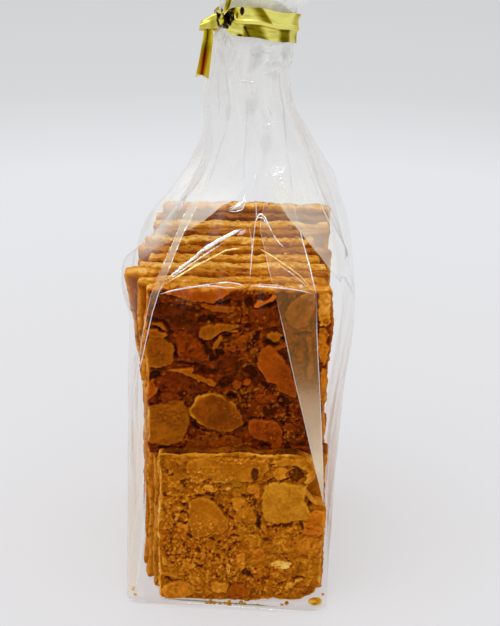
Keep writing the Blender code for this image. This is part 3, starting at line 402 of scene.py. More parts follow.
def baked_face(x, z, looks, seed):
    """Height, tone, redness and smoothness of a face at points in its plane."""
    flakes, holes, drifts, worn, ground_tone, ground_red, pores = looks
    bent_x = x + 0.42 * cloud(x, 0.0, z, 2.3, seed + 31) + 0.26 * cloud(x, 0.0, z, 0.8, seed + 32)
    bent_z = z + 0.42 * cloud(x, 4.0, z, 2.3, seed + 33) + 0.26 * cloud(x, 4.0, z, 0.8, seed + 34)
    lump = cloud(x, 0.0, z, 4.2, seed)
    mid = cloud(bent_x, 0.0, bent_z, 1.7, seed + 1)
    fine = cloud(bent_x, 0.0, bent_z, 0.75, seed + 2)
    dust = cloud(x, 0.0, z, 0.42, seed + 5)
    height = 0.22 * lump + 0.24 * mid + 0.16 * fine
    tone = ground_tone + 0.05 * lump + 0.09 * mid + 0.1 * fine + 0.06 * dust
    red = ground_red + 0.3 * cloud(x, 5.0, z, 5.0, seed + 3) + 0.2 * mid
    smooth = np.zeros_like(x)
    # The gaps between the crumbs, more of them in some places than in others.
    gappy = cloud(bent_x, 7.0, bent_z, 1.1, seed + 4) + 0.6 * cloud(bent_x, 7.0, bent_z, 0.6, seed + 6)
    gappy = gappy + 0.4 * cloud(x, 8.0, z, 9.0, seed + 8)
    pitted = oval_patches(x, z, worn, seed + 150, 2.4, -1.8, 1.8)
    sparse = 0.92 - pores - 0.36 * pitted
    gap = ramp(-gappy, sparse, sparse + 0.4)
    height = height - 0.4 * gap
    tone = tone + gap * (0.64 * ground_tone - tone)
    red = red + 0.45 * gap
    for number, (outline, lift, shade, redness, rim) in enumerate(flakes):
        inward = depth_inside(bent_x, bent_z, outline)
        tilt = cloud(x, 2.0, z, 3.4, seed + number)
        top = lift + 0.22 * tilt
        patchy = cloud(x, number, z, 1.6, seed + 60) + 0.5 * cloud(x, number, z, 0.7, seed + 61)
        # Some of the edge is sharp and some is lost under the crust.
        lost = 0.12 + 0.7 * ramp(cloud(x, number, z, 3.6, seed + 62), 0.0, 0.6) * (1.0 - 0.7 * min(rim, 1.0))
        cover = ramp(inward + 0.1 * patchy, -0.08, lost) * ramp(top + 0.6 + 0.3 * patchy - height, 0.0, 0.35)
        bare = ramp(lift, 0.35, 0.7)
        cover = cover * (1.0 - 0.5 * (1.0 - bare) * ramp(patchy, 0.55, 0.9))
        cover = cover * (1.0 - 0.6 * gap * (1.0 - bare))
        turn = 0.7 * number
        streak_x, streak_z = x * math.cos(turn) + z * math.sin(turn), z * math.cos(turn) - x * math.sin(turn)
        streak = cloud(streak_x / 3.4, number, streak_z / 0.6, 1.0, seed + 7)
        mottle = cloud(x, number, z, 1.2, seed + 9) + 0.6 * fine + 0.5 * dust
        height = height + cover * (top + 0.04 * streak + 0.06 * mottle + 0.1 * fine - height)
        edge = bell(inward - 0.45, 0.5) * ramp(cloud(x, number, z, 4.4, seed + 63), -0.3, 0.3)
        own = shade + 0.07 * cloud(x, 9.0, z, 4.2, seed + number) + 0.05 * streak
        own = own + (0.06 - 0.03 * bare) * mottle
        own = own + 0.17 * rim * edge - 0.08 * (1.0 - bare) * ramp(-mottle, 0.5, 1.1)
        tone = tone + cover * (own - tone)
        red = red + cover * (redness - 0.8 * rim * edge + 0.2 * streak + 0.15 * mottle - red)
        smooth = smooth + cover * (1.0 - smooth)
        # Painted shadow on the crust just outside a raised flake, deeper the higher it lifts.
        painted_shadow = ramp(inward, -0.9, -0.02) * (1.0 - cover) * min(max(lift + 0.2, 0.0), 1.0)
        tone = tone - 0.12 * painted_shadow * ramp(patchy, -0.7, 0.4) * tone / 0.5
    for number, (hole_x, hole_z, long, wide, turn, deepness) in enumerate(holes):
        outline = oval_outline(hole_x, hole_z, long, wide, turn, seed + 50 + number)
        deep = ramp(depth_inside(bent_x, bent_z, outline), -0.3, 0.3)
        height = height - 0.7 * deepness * deep
        # Painted shade darkens the holes.
        tone = tone + 0.92 * deep * (ground_tone * 0.46 + 0.05 * mid + 0.04 * dust - tone)
        red = red + deep * (ground_red + 0.3 - red)
        smooth = smooth * (1.0 - deep)
    # Crumbs: a few anywhere, many in the drifts.
    loose = 0.02 + 0.06 * ramp(cloud(x, 3.0, z, 6.0, seed + 41), 0.2, 0.8) + 0.24 * pitted
    loose = np.maximum(loose, 0.6 * oval_patches(x, z, drifts, seed + 90, 1.6, -0.7, 0.3))
    knobbly_x = bent_x + 0.16 * cloud(x, 1.0, z, 0.5, seed + 44)
    knobbly_z = bent_z + 0.16 * cloud(x, 2.0, z, 0.5, seed + 45)
    for size, seed_step in ((1.35, 20), (0.85, 24)):
        crumb, own = grains(knobbly_x, knobbly_z, size, seed + seed_step)
        own_light = np.mod(own * 37.0, 1.0)
        girth = 0.62 - 0.24 * np.mod(own * 91.0, 1.0)
        lumpy = ramp(crumb, girth, girth + 0.2) * (own < loose)
        height = height + lumpy * 0.3 * size
        tone = tone + 0.9 * lumpy * (ground_tone + 0.04 + 0.18 * own_light + 0.06 * dust - tone)
        red = red + lumpy * (0.35 - red)
        smooth = smooth * (1.0 - lumpy)
    # Painted glints: tiny light points where grains of sugar catch the light.
    painted_glint, own = grains(x, z, 0.6, seed + 28)
    painted_glint = ramp(painted_glint, 0.6, 0.85) * (own < 0.004 + 0.05 * (loose > 0.3))
    tone = tone + painted_glint * 0.22
    red = red - painted_glint * 0.5
    return height, tone, red, smooth


def chance_looks(seed, low, high, ground_tone, ground_red):
    """The looks of a face between two corners, with its flakes, holes and drifts strewn by a seeded draw."""
    draw = np.random.default_rng(seed)
    flakes, holes, drifts = [], [], []
    for number in range(56):
        x, z = draw.uniform(low[0], high[0]), draw.uniform(low[1], high[1])
        long = draw.uniform(2.4, 8.0) if number < 32 else draw.uniform(1.2, 2.8)
        wide = long * draw.uniform(0.4, 0.75)
        outline = oval_outline(x, z, long, wide, draw.uniform(0, 180), seed + number, draw.integers(6, 11))
        shade = ground_tone + draw.uniform(-0.06, 0.2)
        redness = ground_red + draw.uniform(-0.6, 0.5)
        flakes.append((outline, draw.uniform(0.1, 0.9), shade, redness, draw.uniform(0.0, 0.6)))
    for number in range(40):
        x, z = draw.uniform(low[0], high[0]), draw.uniform(low[1], high[1])
        long = draw.uniform(0.5, 2.2)
        wide = long * draw.uniform(0.35, 0.9)
        holes.append((x, z, long, wide, draw.uniform(0, 180), draw.uniform(0.4, 1.1)))
    for number in range(16):
        x, z = draw.uniform(low[0], high[0]), draw.uniform(low[1], high[1])
        drifts.append((x, z, draw.uniform(1.0, 4.5), draw.uniform(0.6, 2.4), draw.uniform(0, 180), 0.8))
    return flakes, holes, drifts, [], ground_tone, ground_red, 0.35


def ring_round(count):
    """Points round a square from -1 to 1, from its lower left corner, with the given number to a side."""
    side = np.linspace(-1.0, 1.0, count, endpoint=False)
    one = np.ones(count)
    return np.concatenate([side, one, -side, -one]), np.concatenate([-one, side, one, -side])


def plate_point(a, b, spec, seed):
    """The place in the tuile's plane of a point of the square from -1 to 1."""
    left, right, top, bottom = spec
    half_x, half_z = (right - left) / 2.0, (top - bottom) / 2.0
    over_x = np.maximum(np.abs(a) * half_x - half_x + CORNER, 0.0)
    over_z = np.maximum(np.abs(b) * half_z - half_z + CORNER, 0.0)
    length = np.maximum(np.hypot(over_x, over_z), 1e-9)
    pull = np.where(length > 1e-6, np.maximum(over_x, over_z) / length, 1.0)
    a = np.sign(a) * (np.abs(a) * half_x - over_x * (1.0 - pull)) / half_x
    b = np.sign(b) * (np.abs(b) * half_z - over_z * (1.0 - pull)) / half_z
    x = left + half_x * (1.0 + a)
    z = bottom + half_z * (1.0 + b)
    x = x + a * (0.7 * cloud(z, a * 3.0, seed * 5.0, 13.0, seed) + 0.2 * cloud(z, a * 3.0, 0.0, 4.4, seed))
    z = z + b * (0.7 * cloud(x, b * 3.0, seed * 5.0, 11.0, seed + 1) + 0.3 * cloud(x, b, 0.0, 3.2, seed))
    return x, z


def mesh_piece(name, material, points, faces, looks=None):
    """A piece made of points in millimetres, with a colour attribute that its material reads."""
    mesh = bpy.data.meshes.new(name)
    points = np.asarray(points, float) * MM
    sizes = np.array([len(face) for face in faces], np.int32)
    corners = np.concatenate([np.asarray(face, np.int32) for face in faces])
    mesh.vertices.add(len(points))
    mesh.vertices.foreach_set("co", points.astype(np.float32).ravel())
    mesh.loops.add(len(corners))
    mesh.loops.foreach_set("vertex_index", corners)
    mesh.polygons.add(len(sizes))
    mesh.polygons.foreach_set("loop_start", np.concatenate([[0], np.cumsum(sizes)[:-1]]).astype(np.int32))
    mesh.update(calc_edges=True)
    mesh.shade_smooth()
    if looks is not None:
        layer = mesh.color_attributes.new("looks", "FLOAT_COLOR", "POINT")
        values = np.ones((len(points), 4), np.float32)
        values[:, :looks.shape[1]] = looks
        layer.data.foreach_set("color", values.ravel())
    mesh.materials.append(material)
    piece = bpy.data.objects.new(name, mesh)
    bpy.context.scene.collection.objects.link(piece)
    return piece


def bands(rings, count):
    """Quads between rings of points, where each ring is the index of its first point."""
    index = np.arange(count)
    following = (index + 1) % count
    quads = []
    for low, high in zip(rings, rings[1:]):
        quads.append(np.stack([low + index, high + index, high + following, low + following], axis=1))
    return np.concatenate(quads)


class Wire:
    """One output of a node. Sums on it add Math nodes."""

    def __init__(self, finish, socket):
        self.finish = finish
        self.socket = socket

    def math(self, operation, *terms, clamp=False):
        settings = {"operation": operation, "use_clamp": clamp}
        return self.finish.node("Math", settings, dict(enumerate(terms)))

    def __add__(self, other):
        return self.math("ADD", self, other)

    def __sub__(self, other):
        return self.math("SUBTRACT", self, other)

    def __rsub__(self, other):
        return self.math("SUBTRACT", other, self)

    def __mul__(self, other):
        return self.math("MULTIPLY", self, other)

    def __pow__(self, other):
        return self.math("POWER", self, other)

    def __rpow__(self, other):
        return self.math("POWER", other, self)

    __radd__ = __add__
    __rmul__ = __mul__

    def clamped(self):
        return self.math("ADD", self, 0.0, clamp=True)

    def scaled(self, share):
        """A colour or a vector times a number."""
        return self.finish.node("VectorMath", {"operation": "SCALE"}, {0: self, 3: share})

    def between(self, first, second):
        """A colour mixed from two, with this as the share of the second."""
        return self.finish.node("Mix", {"data_type": "RGBA"}, {0: self, 6: first, 7: second}, out=2)

    def parts(self, kind="SeparateColor"):
        """The three parts of a colour or, with SeparateXYZ, of a vector."""
        first = self.finish.node(kind, None, {0: self})
        return [Wire(self.finish, output) for output in first.socket.node.outputs]


class Finish:
    """A node tree that is being filled."""

    def __init__(self, tree):
        self.tree = tree
        tree.nodes.clear()

    def node(self, kind, settings=None, sockets=None, out=0):
        """A node of the given type, with its settings and its sockets' values or links."""
        node = self.tree.nodes.new("ShaderNode" + kind)
        for name, value in (settings or {}).items():
            if name == "stops":
                while len(node.color_ramp.elements) < len(value):
                    node.color_ramp.elements.new(1.0)
                for element, (place, colour) in zip(node.color_ramp.elements, value):
                    element.position = place
                    element.color = (*colour, 1.0)
            else:
                setattr(node, name, value)
        for key, value in (sockets or {}).items():
            if isinstance(value, Wire):
                self.tree.links.new(value.socket, node.inputs[key])
            else:
                node.inputs[key].default_value = value
        return Wire(self, node.outputs[out]) if node.outputs else None

    def looks(self, out=0):
        """The colour attribute of the mesh, or with 3 its last part."""
        return self.node("Attribute", {"attribute_name": "looks"}, out=out)

    def place(self):
        """The place on the piece."""
        return self.node("TexCoord", out=3)


def material_named(name):
    material = bpy.data.materials.new(name)
    material.use_nodes = True
    return material, Finish(material.node_tree)


def lit(stops, light=1.0):
    """Stops of a ramp, whose colours look like the given screen colours under that share of full light."""
    result = []
    for place, *screen in stops:
        shares = [value / 255.0 for value in screen]
        values = [share / 12.92 if share <= 0.04045 else ((share + 0.055) / 1.055) ** 2.4 for share in shares]
        result.append((place, tuple(min(value / light, 0.95) for value in values)))
    return result


# From dark to light, where the crust is golden, where it is reddish, and where it is straw yellow: the tone
# and its colour on a screen. The light falls on the faces at a slant.
FACE_LIGHT = 0.62
GOLDEN = [
    (0.0, 26, 9, 0), (0.2, 66, 28, 1), (0.4, 104, 52, 2), (0.6, 142, 80, 4), (0.8, 180, 117, 24),
    (1.0, 222, 172, 96),
]
RUDDY = [
    (0.0, 24, 5, 0), (0.2, 62, 14, 0), (0.4, 98, 33, 1), (0.6, 138, 58, 3), (0.8, 180, 91, 12),
    (1.0, 222, 142, 60),
]
STRAW = [(0.0, 30, 16, 0), (0.4, 112, 72, 6), (0.6, 152, 104, 12), (0.8, 188, 142, 40), (1.0, 228, 198, 128)]


def tuile_material():
    """Caramel brown: tone, redness and smoothness come from the mesh, fine grain from noise."""
    material, finish = material_named("tuile")
    tone, red, smooth = finish.looks().parts()
    place = finish.place()
    specks = finish.node("TexNoise", None, {"Vector": place, "Scale": 1900.0, "Detail": 3.0})
    grit = finish.node("TexVoronoi", None, {"Vector": place, "Scale": 1500.0})
    patches = finish.node("TexNoise", None, {"Vector": place, "Scale": 260.0, "Detail": 4.0})
    rough_part = 1.0 - 0.7 * smooth
    tone = tone + (specks - 0.5) * 0.26 * rough_part + (patches - 0.5) * 0.16
    tone = (tone - (grit - 0.35) * 0.1 * rough_part).clamped()
    shades = (lit(stops, FACE_LIGHT) for stops in (GOLDEN, RUDDY, STRAW))
    gold, rust, straw = (finish.node("ValToRGB", {"stops": stops}, {0: tone}) for stops in shades)
    colour = red.clamped().between(gold, rust)
    colour = (red * -1.4 - 0.25).clamped().between(colour, straw)
    relief = (specks + grit * 0.5) * rough_part
    bump = finish.node("Bump", None, {"Strength": 0.35, "Distance": 0.0003, "Height": relief})
    surface = finish.node("BsdfPrincipled", None, {
        "Base Color": colour,
        "Roughness": 0.6 - 0.22 * smooth,
        "Specular IOR Level": 0.1,
        "Specular Tint": (1.0, 0.5, 0.12, 1.0),
        "Normal": bump,
    })
    finish.node("OutputMaterial", None, {"Surface": surface})
    return material


baked = tuile_material()


def blurred(values, reach):
    """The mean over a square round each point."""
    for axis in (0, 1):
        padding = [(reach + 1, reach) if k == axis else (0, 0) for k in (0, 1)]
        total = np.cumsum(np.pad(values, padding, mode="edge"), axis=axis)
        upper = np.take(total, range(2 * reach + 1, total.shape[axis]), axis=axis)
        lower = np.take(total, range(0, total.shape[axis] - 2 * reach - 1), axis=axis)
        values = (upper - lower) / (2 * reach + 1)
    return values


def grid_quads(tall, wide):
    """Quads between the points of a grid."""
    index = np.arange(tall * wide).reshape(tall, wide)
    corners = (index[:-1, :-1], index[1:, :-1], index[1:, 1:], index[:-1, 1:])
    return np.stack([corner.ravel() for corner in corners], axis=1)


def grid_edge(side):
    """The border of a square grid of points, in the order of ring_round."""
    index = np.arange(side * side).reshape(side, side)
    return np.concatenate([index[:-1, 0], index[-1, :-1], index[:0:-1, -1], index[0, :0:-1]])


def plate_rows(count, width, height, detailed):
    """Rows of points round a plate, from the middle of its front, over the rim, to the middle of its back.

    A row is the places of its points in the square from -1 to 1, and their depth. A detailed front is a grid.
    """
    a, b = ring_round(count)
    rings = [(a * (1.0 - 2.0 * inset / width), b * (1.0 - 2.0 * inset / height)) for inset in FACE_RINGS]
    if detailed:
        grid = np.linspace(-1.0, 1.0, count + 1)
        grid_a, grid_b = np.meshgrid(grid, grid, indexing="ij")
        rows = [(grid_a.ravel(), grid_b.ravel(), 0.0)]
    else:
        rows = [(*ring, 0.0) for ring in rings[::-1]] + [(a, b, 0.0)]
    rows += [(a, b, depth) for depth in RIM_DEPTHS]
    return rows + [(*ring, THICK) for ring in rings]


def plate_faces(starts, count, detailed):
    """The faces of a plate, given the first point of each of its rows."""
    around = 4 * count
    if detailed:
        edge, ring = grid_edge(count + 1), starts[1] + np.arange(around)
        seam = np.stack([edge, ring, np.roll(ring, -1), np.roll(edge, -1)], axis=1)
        faces = [*grid_quads(count + 1, count + 1), *seam, *bands(starts[1:], around)]
    else:
        faces = [*bands(starts, around), range(around)]
    return faces + [range(starts[-1] + around - 1, starts[-1] - 1, -1)]


def crusted(x, y, z, a, b, inward, facing, seed):
    """Pushes the sides in and out in lumps, ledges and chips, that fade towards the middle of the faces.

    Gives x and z, how chipped each point is, and how much it looks up.
    """
    near = np.exp(-inward / 1.1)
    out_x, out_z = np.sign(a) * np.abs(a) ** 14, np.sign(b) * np.abs(b) ** 14
    longest = np.maximum(np.hypot(out_x, out_z), 1.0)
    bent = z + 1.6 * cloud(x, y, z, 5.0, seed + 27)
    lumps = 0.28 * cloud(x + 0.6 * bent, y, bent, 2.4, seed + 11)
    lumps = lumps + 0.3 * cloud(x, y * 1.3, bent, 0.95, seed + 12)
    ledge = 0.26 * cloud(x * 0.3, y * 1.5, z * 0.3, 1.5, seed + 13)
    chip = 0.9 * ramp(cloud(x, y * 0.7, z, 3.8, seed + 19), 0.5, 0.85)
    belly = 0.2 * (1.0 - facing**2)
    push = near * (lumps + ledge + belly - chip - 0.1)
    z_moved = np.maximum(z + push * out_z / longest, FLOOR_GAP)
    return x + push * out_x / longest, z_moved, chip, out_z / longest


def side_looks(x, y, z, facing, chip, upward, darker, seed):
    """Tone and redness of the sides: golden and grainy, with darker layers between the flakes."""
    layer = cloud(x * 0.3, y * 1.3, z * 0.3, 1.1, seed + 14)
    crumb = cloud(x, y, z, 0.8, seed + 15)
    gap = ramp(-(cloud(x, y, z, 1.3, seed + 21) + 0.6 * cloud(x, y, z, 0.65, seed + 22)), 0.35, 0.8)
    tone = 0.8 + 0.08 * layer + 0.1 * crumb - 0.26 * gap - 0.06 * chip
    tone = tone - 0.05 * ramp(np.abs(facing), 0.6, 1.0)
    red = -0.05 + 0.3 * cloud(x, y, z, 5.0, seed + 16) + 0.3 * gap
    # Along the top it is drawn out in lines. Painted shade darkens it down towards the tuiles in front and
    # behind, and all along the top of a tuile that lies in shadow.
    lines = cloud(x / 6.0, y * 1.2, seed, 1.0, seed + 24)
    lines = lines + 0.6 * cloud(x / 2.2, y * 1.8, seed, 1.0, seed + 25)
    crest = 0.89 + 0.09 * lines + 0.1 * crumb - 0.18 * gap - 0.16 * ramp(np.abs(facing), 0.5, 1.0)
    crest = crest - darker * (0.8 + 0.3 * cloud(x, 0.0, seed, 7.0, seed + 26))
    on_top = ramp(upward, 0.3, 0.8)
    tone = tone + on_top * (crest - tone)
    red = red + on_top * (0.4 * ramp(0.75 - crest, 0.0, 0.3) - 0.12)
    return tone, red


def build_tuile(name, row, seed, plain_looks, face=None, right_edge=None, turned=False):
    """One tuile: a closed plate, with one detailed face where its looks are given, at its back if turned."""
    front, left, right, top, bottom, lean, shaded = row
    if turned:
        left, right = -right, -left
    count = (BACK_POINTS if turned else FRONT_POINTS) if face else PLAIN_POINTS
    rows = plate_rows(count, right - left, top - bottom, face is not None)
    sizes = [len(places) for places, _, _ in rows]
    starts = np.cumsum([0] + sizes[:-1])
    a, b = (np.concatenate([places[k] for places in rows]) for k in (0, 1))
    depth = np.repeat([places[2] for places in rows], sizes)
    facing = 2.0 * depth / THICK - 1.0
    x, z = plate_point(a, b, (left, right, top, bottom), seed)
    x = x + lean * (top - z) / (top - bottom) * np.clip((right - x) / (right - left), 0.0, 1.0)
    if right_edge:
        heights, edges = zip(*right_edge)
        moved = np.interp(z, heights, edges) - right + 0.12 * cloud(z, 0.0, 0.0, 1.3, seed)
        x = x + ramp(a, -0.2, 1.0) * moved
    half_x, half_z = (right - left) / 2.0, (top - bottom) / 2.0
    inward = np.minimum((1.0 - np.abs(a)) * half_x, (1.0 - np.abs(b)) * half_z)
    x, z, chip, upward = crusted(x, depth, z, a, b, inward, facing, seed)
    # Rounding of the long edges.
    on_rim = np.abs(facing) < 0.999
    sunk = ROUNDOVER * (1.0 - np.sqrt(1.0 - np.clip(1.0 - inward / ROUNDOVER, 0.0, 1.0) ** 2 * 0.92))
    on_side = ROUNDOVER * 0.7 + depth / THICK * (THICK - ROUNDOVER * 1.4)
    y = np.where(on_rim, on_side, depth - facing * sunk)
    # Painted shade along the top of a tuile that lies in shadow, from just past its left end.
    darker = shaded * ramp(x - left, 0.5 + lean, 2.5 + lean)
    tone, red = side_looks(x, y, z, facing, chip, upward, darker, seed)
    # The faces that lie inside the stack are plain.
    flat = ~on_rim
    lump = cloud(x, facing, z, 3.0, seed + 17)
    plain = plain_looks[0] + 0.08 * lump + 0.1 * cloud(x, facing, z, 0.9, seed + 18)
    share = ramp(inward, 0.0, 2.0) * flat
    tone = tone + share * (plain - tone)
    red = red + share * (plain_looks[1] - red)
    smooth = np.zeros_like(tone)
    y = y + np.where(flat, facing * 0.22 * lump * ramp(inward, 0.2, 1.5), 0.0)
    if face:
        shown = slice((count + 1) ** 2)
        face_x, face_z, face_inward = (-x if turned else x)[shown], z[shown], inward[shown]
        height, face_tone, face_red, smooth[shown] = baked_face(face_x, face_z, face, seed)
        y[shown] = sunk[shown] - RELIEF * height * (0.25 + 0.75 * ramp(face_inward, 0.0, 1.1))
        # Painted shade darkens the hollows, and the rind along the edge is lighter.
        square = height.reshape(count + 1, count + 1)
        painted_hollow_shade, close = ((blurred(square, reach) - square).ravel() for reach in (5, 2))
        face_tone = face_tone - 0.12 * np.clip(painted_hollow_shade, -0.35, 0.8) - 0.2 * np.clip(close, -0.2, 0.4)
        patchy = cloud(x[shown], 0.0, z[shown], 2.2, seed + 23)
        gild = 1.0 - ramp(face_inward, 0.15, 0.9 + 0.5 * patchy)
        rind = plain_looks[0] + 0.08 + 0.14 * patchy + 0.16 * ramp(-a[shown], 0.9, 1.0)
        tone[shown] = face_tone + gild * (rind - face_tone)
        red[shown] = face_red - 0.3 * gild
    if turned:
        points = np.stack([-x, front + THICK - y, z], axis=1)
    else:
        points = np.stack([x, front + y, z], axis=1)
    faces = plate_faces(starts, count, face is not None)
    piece = mesh_piece(name, baked, points, faces, np.stack([tone, red, smooth], axis=1))
    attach(piece, "root")


# The looks of the two front faces end with their ground tone, its redness, and how full of pores it is.
UPPER_LOOKS = (UPPER_FLAKES, UPPER_HOLES, UPPER_DRIFTS, UPPER_WORN, 0.33, 0.9, 0.2)
LOWER_LOOKS = (LOWER_FLAKES, LOWER_HOLES, LOWER_DRIFTS, LOWER_WORN, 0.58, 0.05, 0.3)
# Of each tier: its tuiles, looks and right edge of its front face, tone and redness of a plain face, and the
# seed of its first tuile.
TIERS = {
    "upper": (UPPER_TIER, UPPER_LOOKS, LEANING_EDGE, (0.54, 0.4), 3),
    "lower": (LOWER_TIER, LOWER_LOOKS, BROKEN_EDGE, (0.64, 0.0), 103),
}
for tier, (rows, front_looks, front_edge, plain_looks, first_seed) in TIERS.items():
    for number, row in enumerate(rows):
        seed = first_seed + 7 * number
        tuile_name = f"{tier}_tuile_{number + 1}"
        if number == 0:
            build_tuile(tuile_name, row, seed, plain_looks, front_looks, front_edge)
        elif number == len(rows) - 1:
            back_looks = chance_looks(seed, (row[1], row[4]), (row[2], row[3]), *plain_looks)
            build_tuile(tuile_name, row, seed, plain_looks, back_looks, turned=True)
        else:
            build_tuile(tuile_name, row, seed, plain_looks)


# ------------------------------------------------------------
# Loose crumbs of caramel and almond that broke off the tuiles: they lie on the bottom of the bag along its
# front and sides, and a few on top of the upper tuiles. Each is a lumpy ball, and all are one mesh.

# Middle in x and y, the height of what it lies on, and its radius.
CRUMBS = [
    (23.1, -36.2, 0.0, 1.55), (14.4, -36.2, 0.0, 0.75), (12.9, -36.5, 0.0, 0.4), (5.2, -36.2, 0.0, 0.3),
    (1.1, -36.4, 0.0, 0.6), (0.1, -36.1, 0.0, 0.75), (-1.4, -36.3, 0.0, 0.45), (-3.6, -36.5, 0.0, 0.85),
    (-5.0, -36.2, 0.0, 0.6), (-6.6, -36.2, 0.0, 0.4), (-8.4, -36.4, 0.0, 0.6), (-9.5, -36.1, 0.0, 0.75),
    (-10.7, -36.3, 0.0, 0.5), (-34.3, -30.4, 1.0, 0.42), (-33.5, -31.6, 0.0, 0.4), (-34.2, -27.6, 0.0, 0.3),
    (26.2, -31.0, 0.0, 0.4), (-12.0, 36.6, 0.0, 0.4), (-22.0, -27.0, 106.5, 0.6), (-8.0, -15.6, 106.0, 0.5),
    (12.6, -3.0, 105.2, 0.6), (-17.0, 3.2, 105.4, 0.5), (16.4, 9.0, 106.1, 0.5), (-2.0, 21.4, 106.6, 0.5),
    (8.2, 33.6, 107.8, 0.5),
]
CRUMB_ROWS, CRUMB_AROUND = 9, 16
CRUMB_GAP = 0.12  # between a crumb and what it lies on


def joined(parts):
    """The points, faces and looks of several parts as those of one mesh."""
    points, faces, looks = [], [], []
    base = 0
    for part_points, part_faces, part_looks in parts:
        points.append(part_points)
        faces += [np.asarray(face) + base for face in part_faces]
        looks.append(part_looks)
        base += len(part_points)
    return np.concatenate(points), faces, np.concatenate(looks)


def build_crumbs():
    down = np.linspace(0.0, math.pi, CRUMB_ROWS)
    turn = np.linspace(0.0, 2.0 * math.pi, CRUMB_AROUND, endpoint=False)
    down, turn = (grid.ravel() for grid in np.meshgrid(down, turn, indexing="ij"))
    ball = np.stack([np.sin(down) * np.cos(turn), np.sin(down) * np.sin(turn), np.cos(down)], axis=1)
    faces = bands([CRUMB_AROUND * k for k in range(CRUMB_ROWS)], CRUMB_AROUND)[:, ::-1]
    draw = np.random.default_rng(77)
    crumbs = []
    for number, (x, y, base, radius) in enumerate(CRUMBS):
        bumps = 0.4 * cloud(*ball.T, 0.8, number) + 0.2 * cloud(*ball.T, 0.4, number + 50)
        shape = ball * (1.0 + bumps)[:, None] * radius * draw.uniform(0.7, 1.35, 3) * (1.0, 1.0, 0.75)
        shape[:, 2] += base - shape[:, 2].min() + CRUMB_GAP
        tone = draw.uniform(0.66, 0.84) + 0.5 * bumps
        red = np.full(len(ball), draw.uniform(-0.9, -0.3))
        crumbs.append((shape + (x, y, 0.0), faces, np.stack([tone, red, 0.0 * tone], axis=1)))
    piece = mesh_piece("loose_crumbs", baked, *joined(crumbs))
    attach(piece, "root")


build_crumbs()


# ------------------------------------------------------------
# The bag: clear film, 0.03 mm thick, folded in at both sides and heat sealed below. It lies close on the two
# tiers, is gathered into a neck above them, and fans out over the tie.

FILM_ROWS, FILM_AROUND = 220, 360
PLEATS = 13  # round the neck
MOUTH = round(cad_box[1][2] / MM, 1)  # the film reaches to the top of the frame
NECK_X = 2.6  # where the middle of the neck is
TIE_HEIGHT = 178.0
TIE_BAND = 8.2  # height of the tie's band
TIE_TILT = math.radians(7.0)
# Height, left, right, front, back, squareness, gusset, pleats, and the tucks front left, front right and back
# left.
STATIONS = np.array([
    (0.0, -36.4, 28.6, -37.9, 38.2, 20.0, 0.0, 0.0, 0.2, 1.6, 2.2),
    (28.0, -36.5, 29.4, -36.7, 39.0, 18.0, 0.0, 0.0, 1.6, 1.8, 2.8),
    (56.0, -36.5, 32.4, -35.5, 39.0, 15.0, 0.01, 0.0, 3.0, 5.6, 3.4),
    (88.0, -36.4, 35.8, -32.1, 38.8, 12.0, 0.03, 0.0, 4.0, 8.8, 5.6),
    (106.4, -35.8, 34.2, -30.9, 37.4, 8.0, 0.08, 0.0, 3.4, 8.0, 8.6),
    (118.0, -27.0, 30.6, -23.0, 31.6, 5.6, 0.18, 0.4, 3.0, 5.0, 4.6),
    (130.0, -18.6, 26.2, -15.0, 23.0, 4.4, 0.26, 0.8, 1.6, 2.4, 2.0),
    (141.0, -13.6, 20.4, -9.0, 15.8, 3.6, 0.22, 0.8, 0.8, 1.0, 0.8),
    (154.0, -12.4, 13.8, -6.1, 11.9, 3.0, 0.10, 0.8, 0.0, 0.0, 0.0),
    (165.0, -9.8, 13.4, -4.9, 10.1, 2.6, 0.03, 0.7, 0.0, 0.0, 0.0),
    (170.5, -8.9, 13.8, -4.1, 9.1, 2.4, 0.0, 0.6, 0.0, 0.0, 0.0),
    (174.0, -8.4, 13.6, -3.3, 8.3, 2.4, 0.0, 0.0, 0.0, 0.0, 0.0),
    (182.6, -8.4, 13.6, -3.3, 8.3, 2.4, 0.0, 0.0, 0.0, 0.0, 0.0),
    (186.0, -11.4, 17.6, -3.9, 8.9, 2.4, 0.0, 0.7, 0.0, 0.0, 0.0),
    (192.0, -19.0, 25.4, -4.5, 9.5, 2.5, 0.0, 1.0, 0.0, 0.0, 0.0),
    (202.0, -25.6, 32.2, -4.9, 9.9, 2.6, 0.0, 1.0, 0.0, 0.0, 0.0),
    (MOUTH, -29.0, 35.8, -5.1, 10.1, 2.6, 0.0, 0.9, 0.0, 0.0, 0.0),
])


def station_slopes():
    """The slope of each value at each station, flat where it turns back, so that no curve overshoots."""
    rises = np.diff(STATIONS[:, 1:], axis=0) / np.diff(STATIONS[:, 0])[:, None]
    below, above = rises[:-1], rises[1:]
    same = below * above > 0.0
    mean = np.where(same, 2.0 * below * above / np.where(same, below + above, 1.0), 0.0)
    flat = np.zeros((1, mean.shape[1]))
    return np.concatenate([flat, mean, flat])


SLOPES = station_slopes()


def loft_values(height):
    """The loft's ten values at each of the given heights."""
    rows = STATIONS
    index = np.clip(np.searchsorted(rows[:, 0], height, side="right") - 1, 0, len(rows) - 2)
    length = rows[index + 1, 0] - rows[index, 0]
    share = np.clip((height - rows[index, 0]) / length, 0.0, 1.0)[..., None]
    length = length[..., None]
    start, end = rows[index, 1:], rows[index + 1, 1:]
    bow = share * (1.0 - share) * length
    value = start + (end - start) * share * share * (3.0 - 2.0 * share)
    value = value + bow * ((1.0 - share) * SLOPES[index] - share * SLOPES[index + 1])
    return np.moveaxis(value, -1, 0)


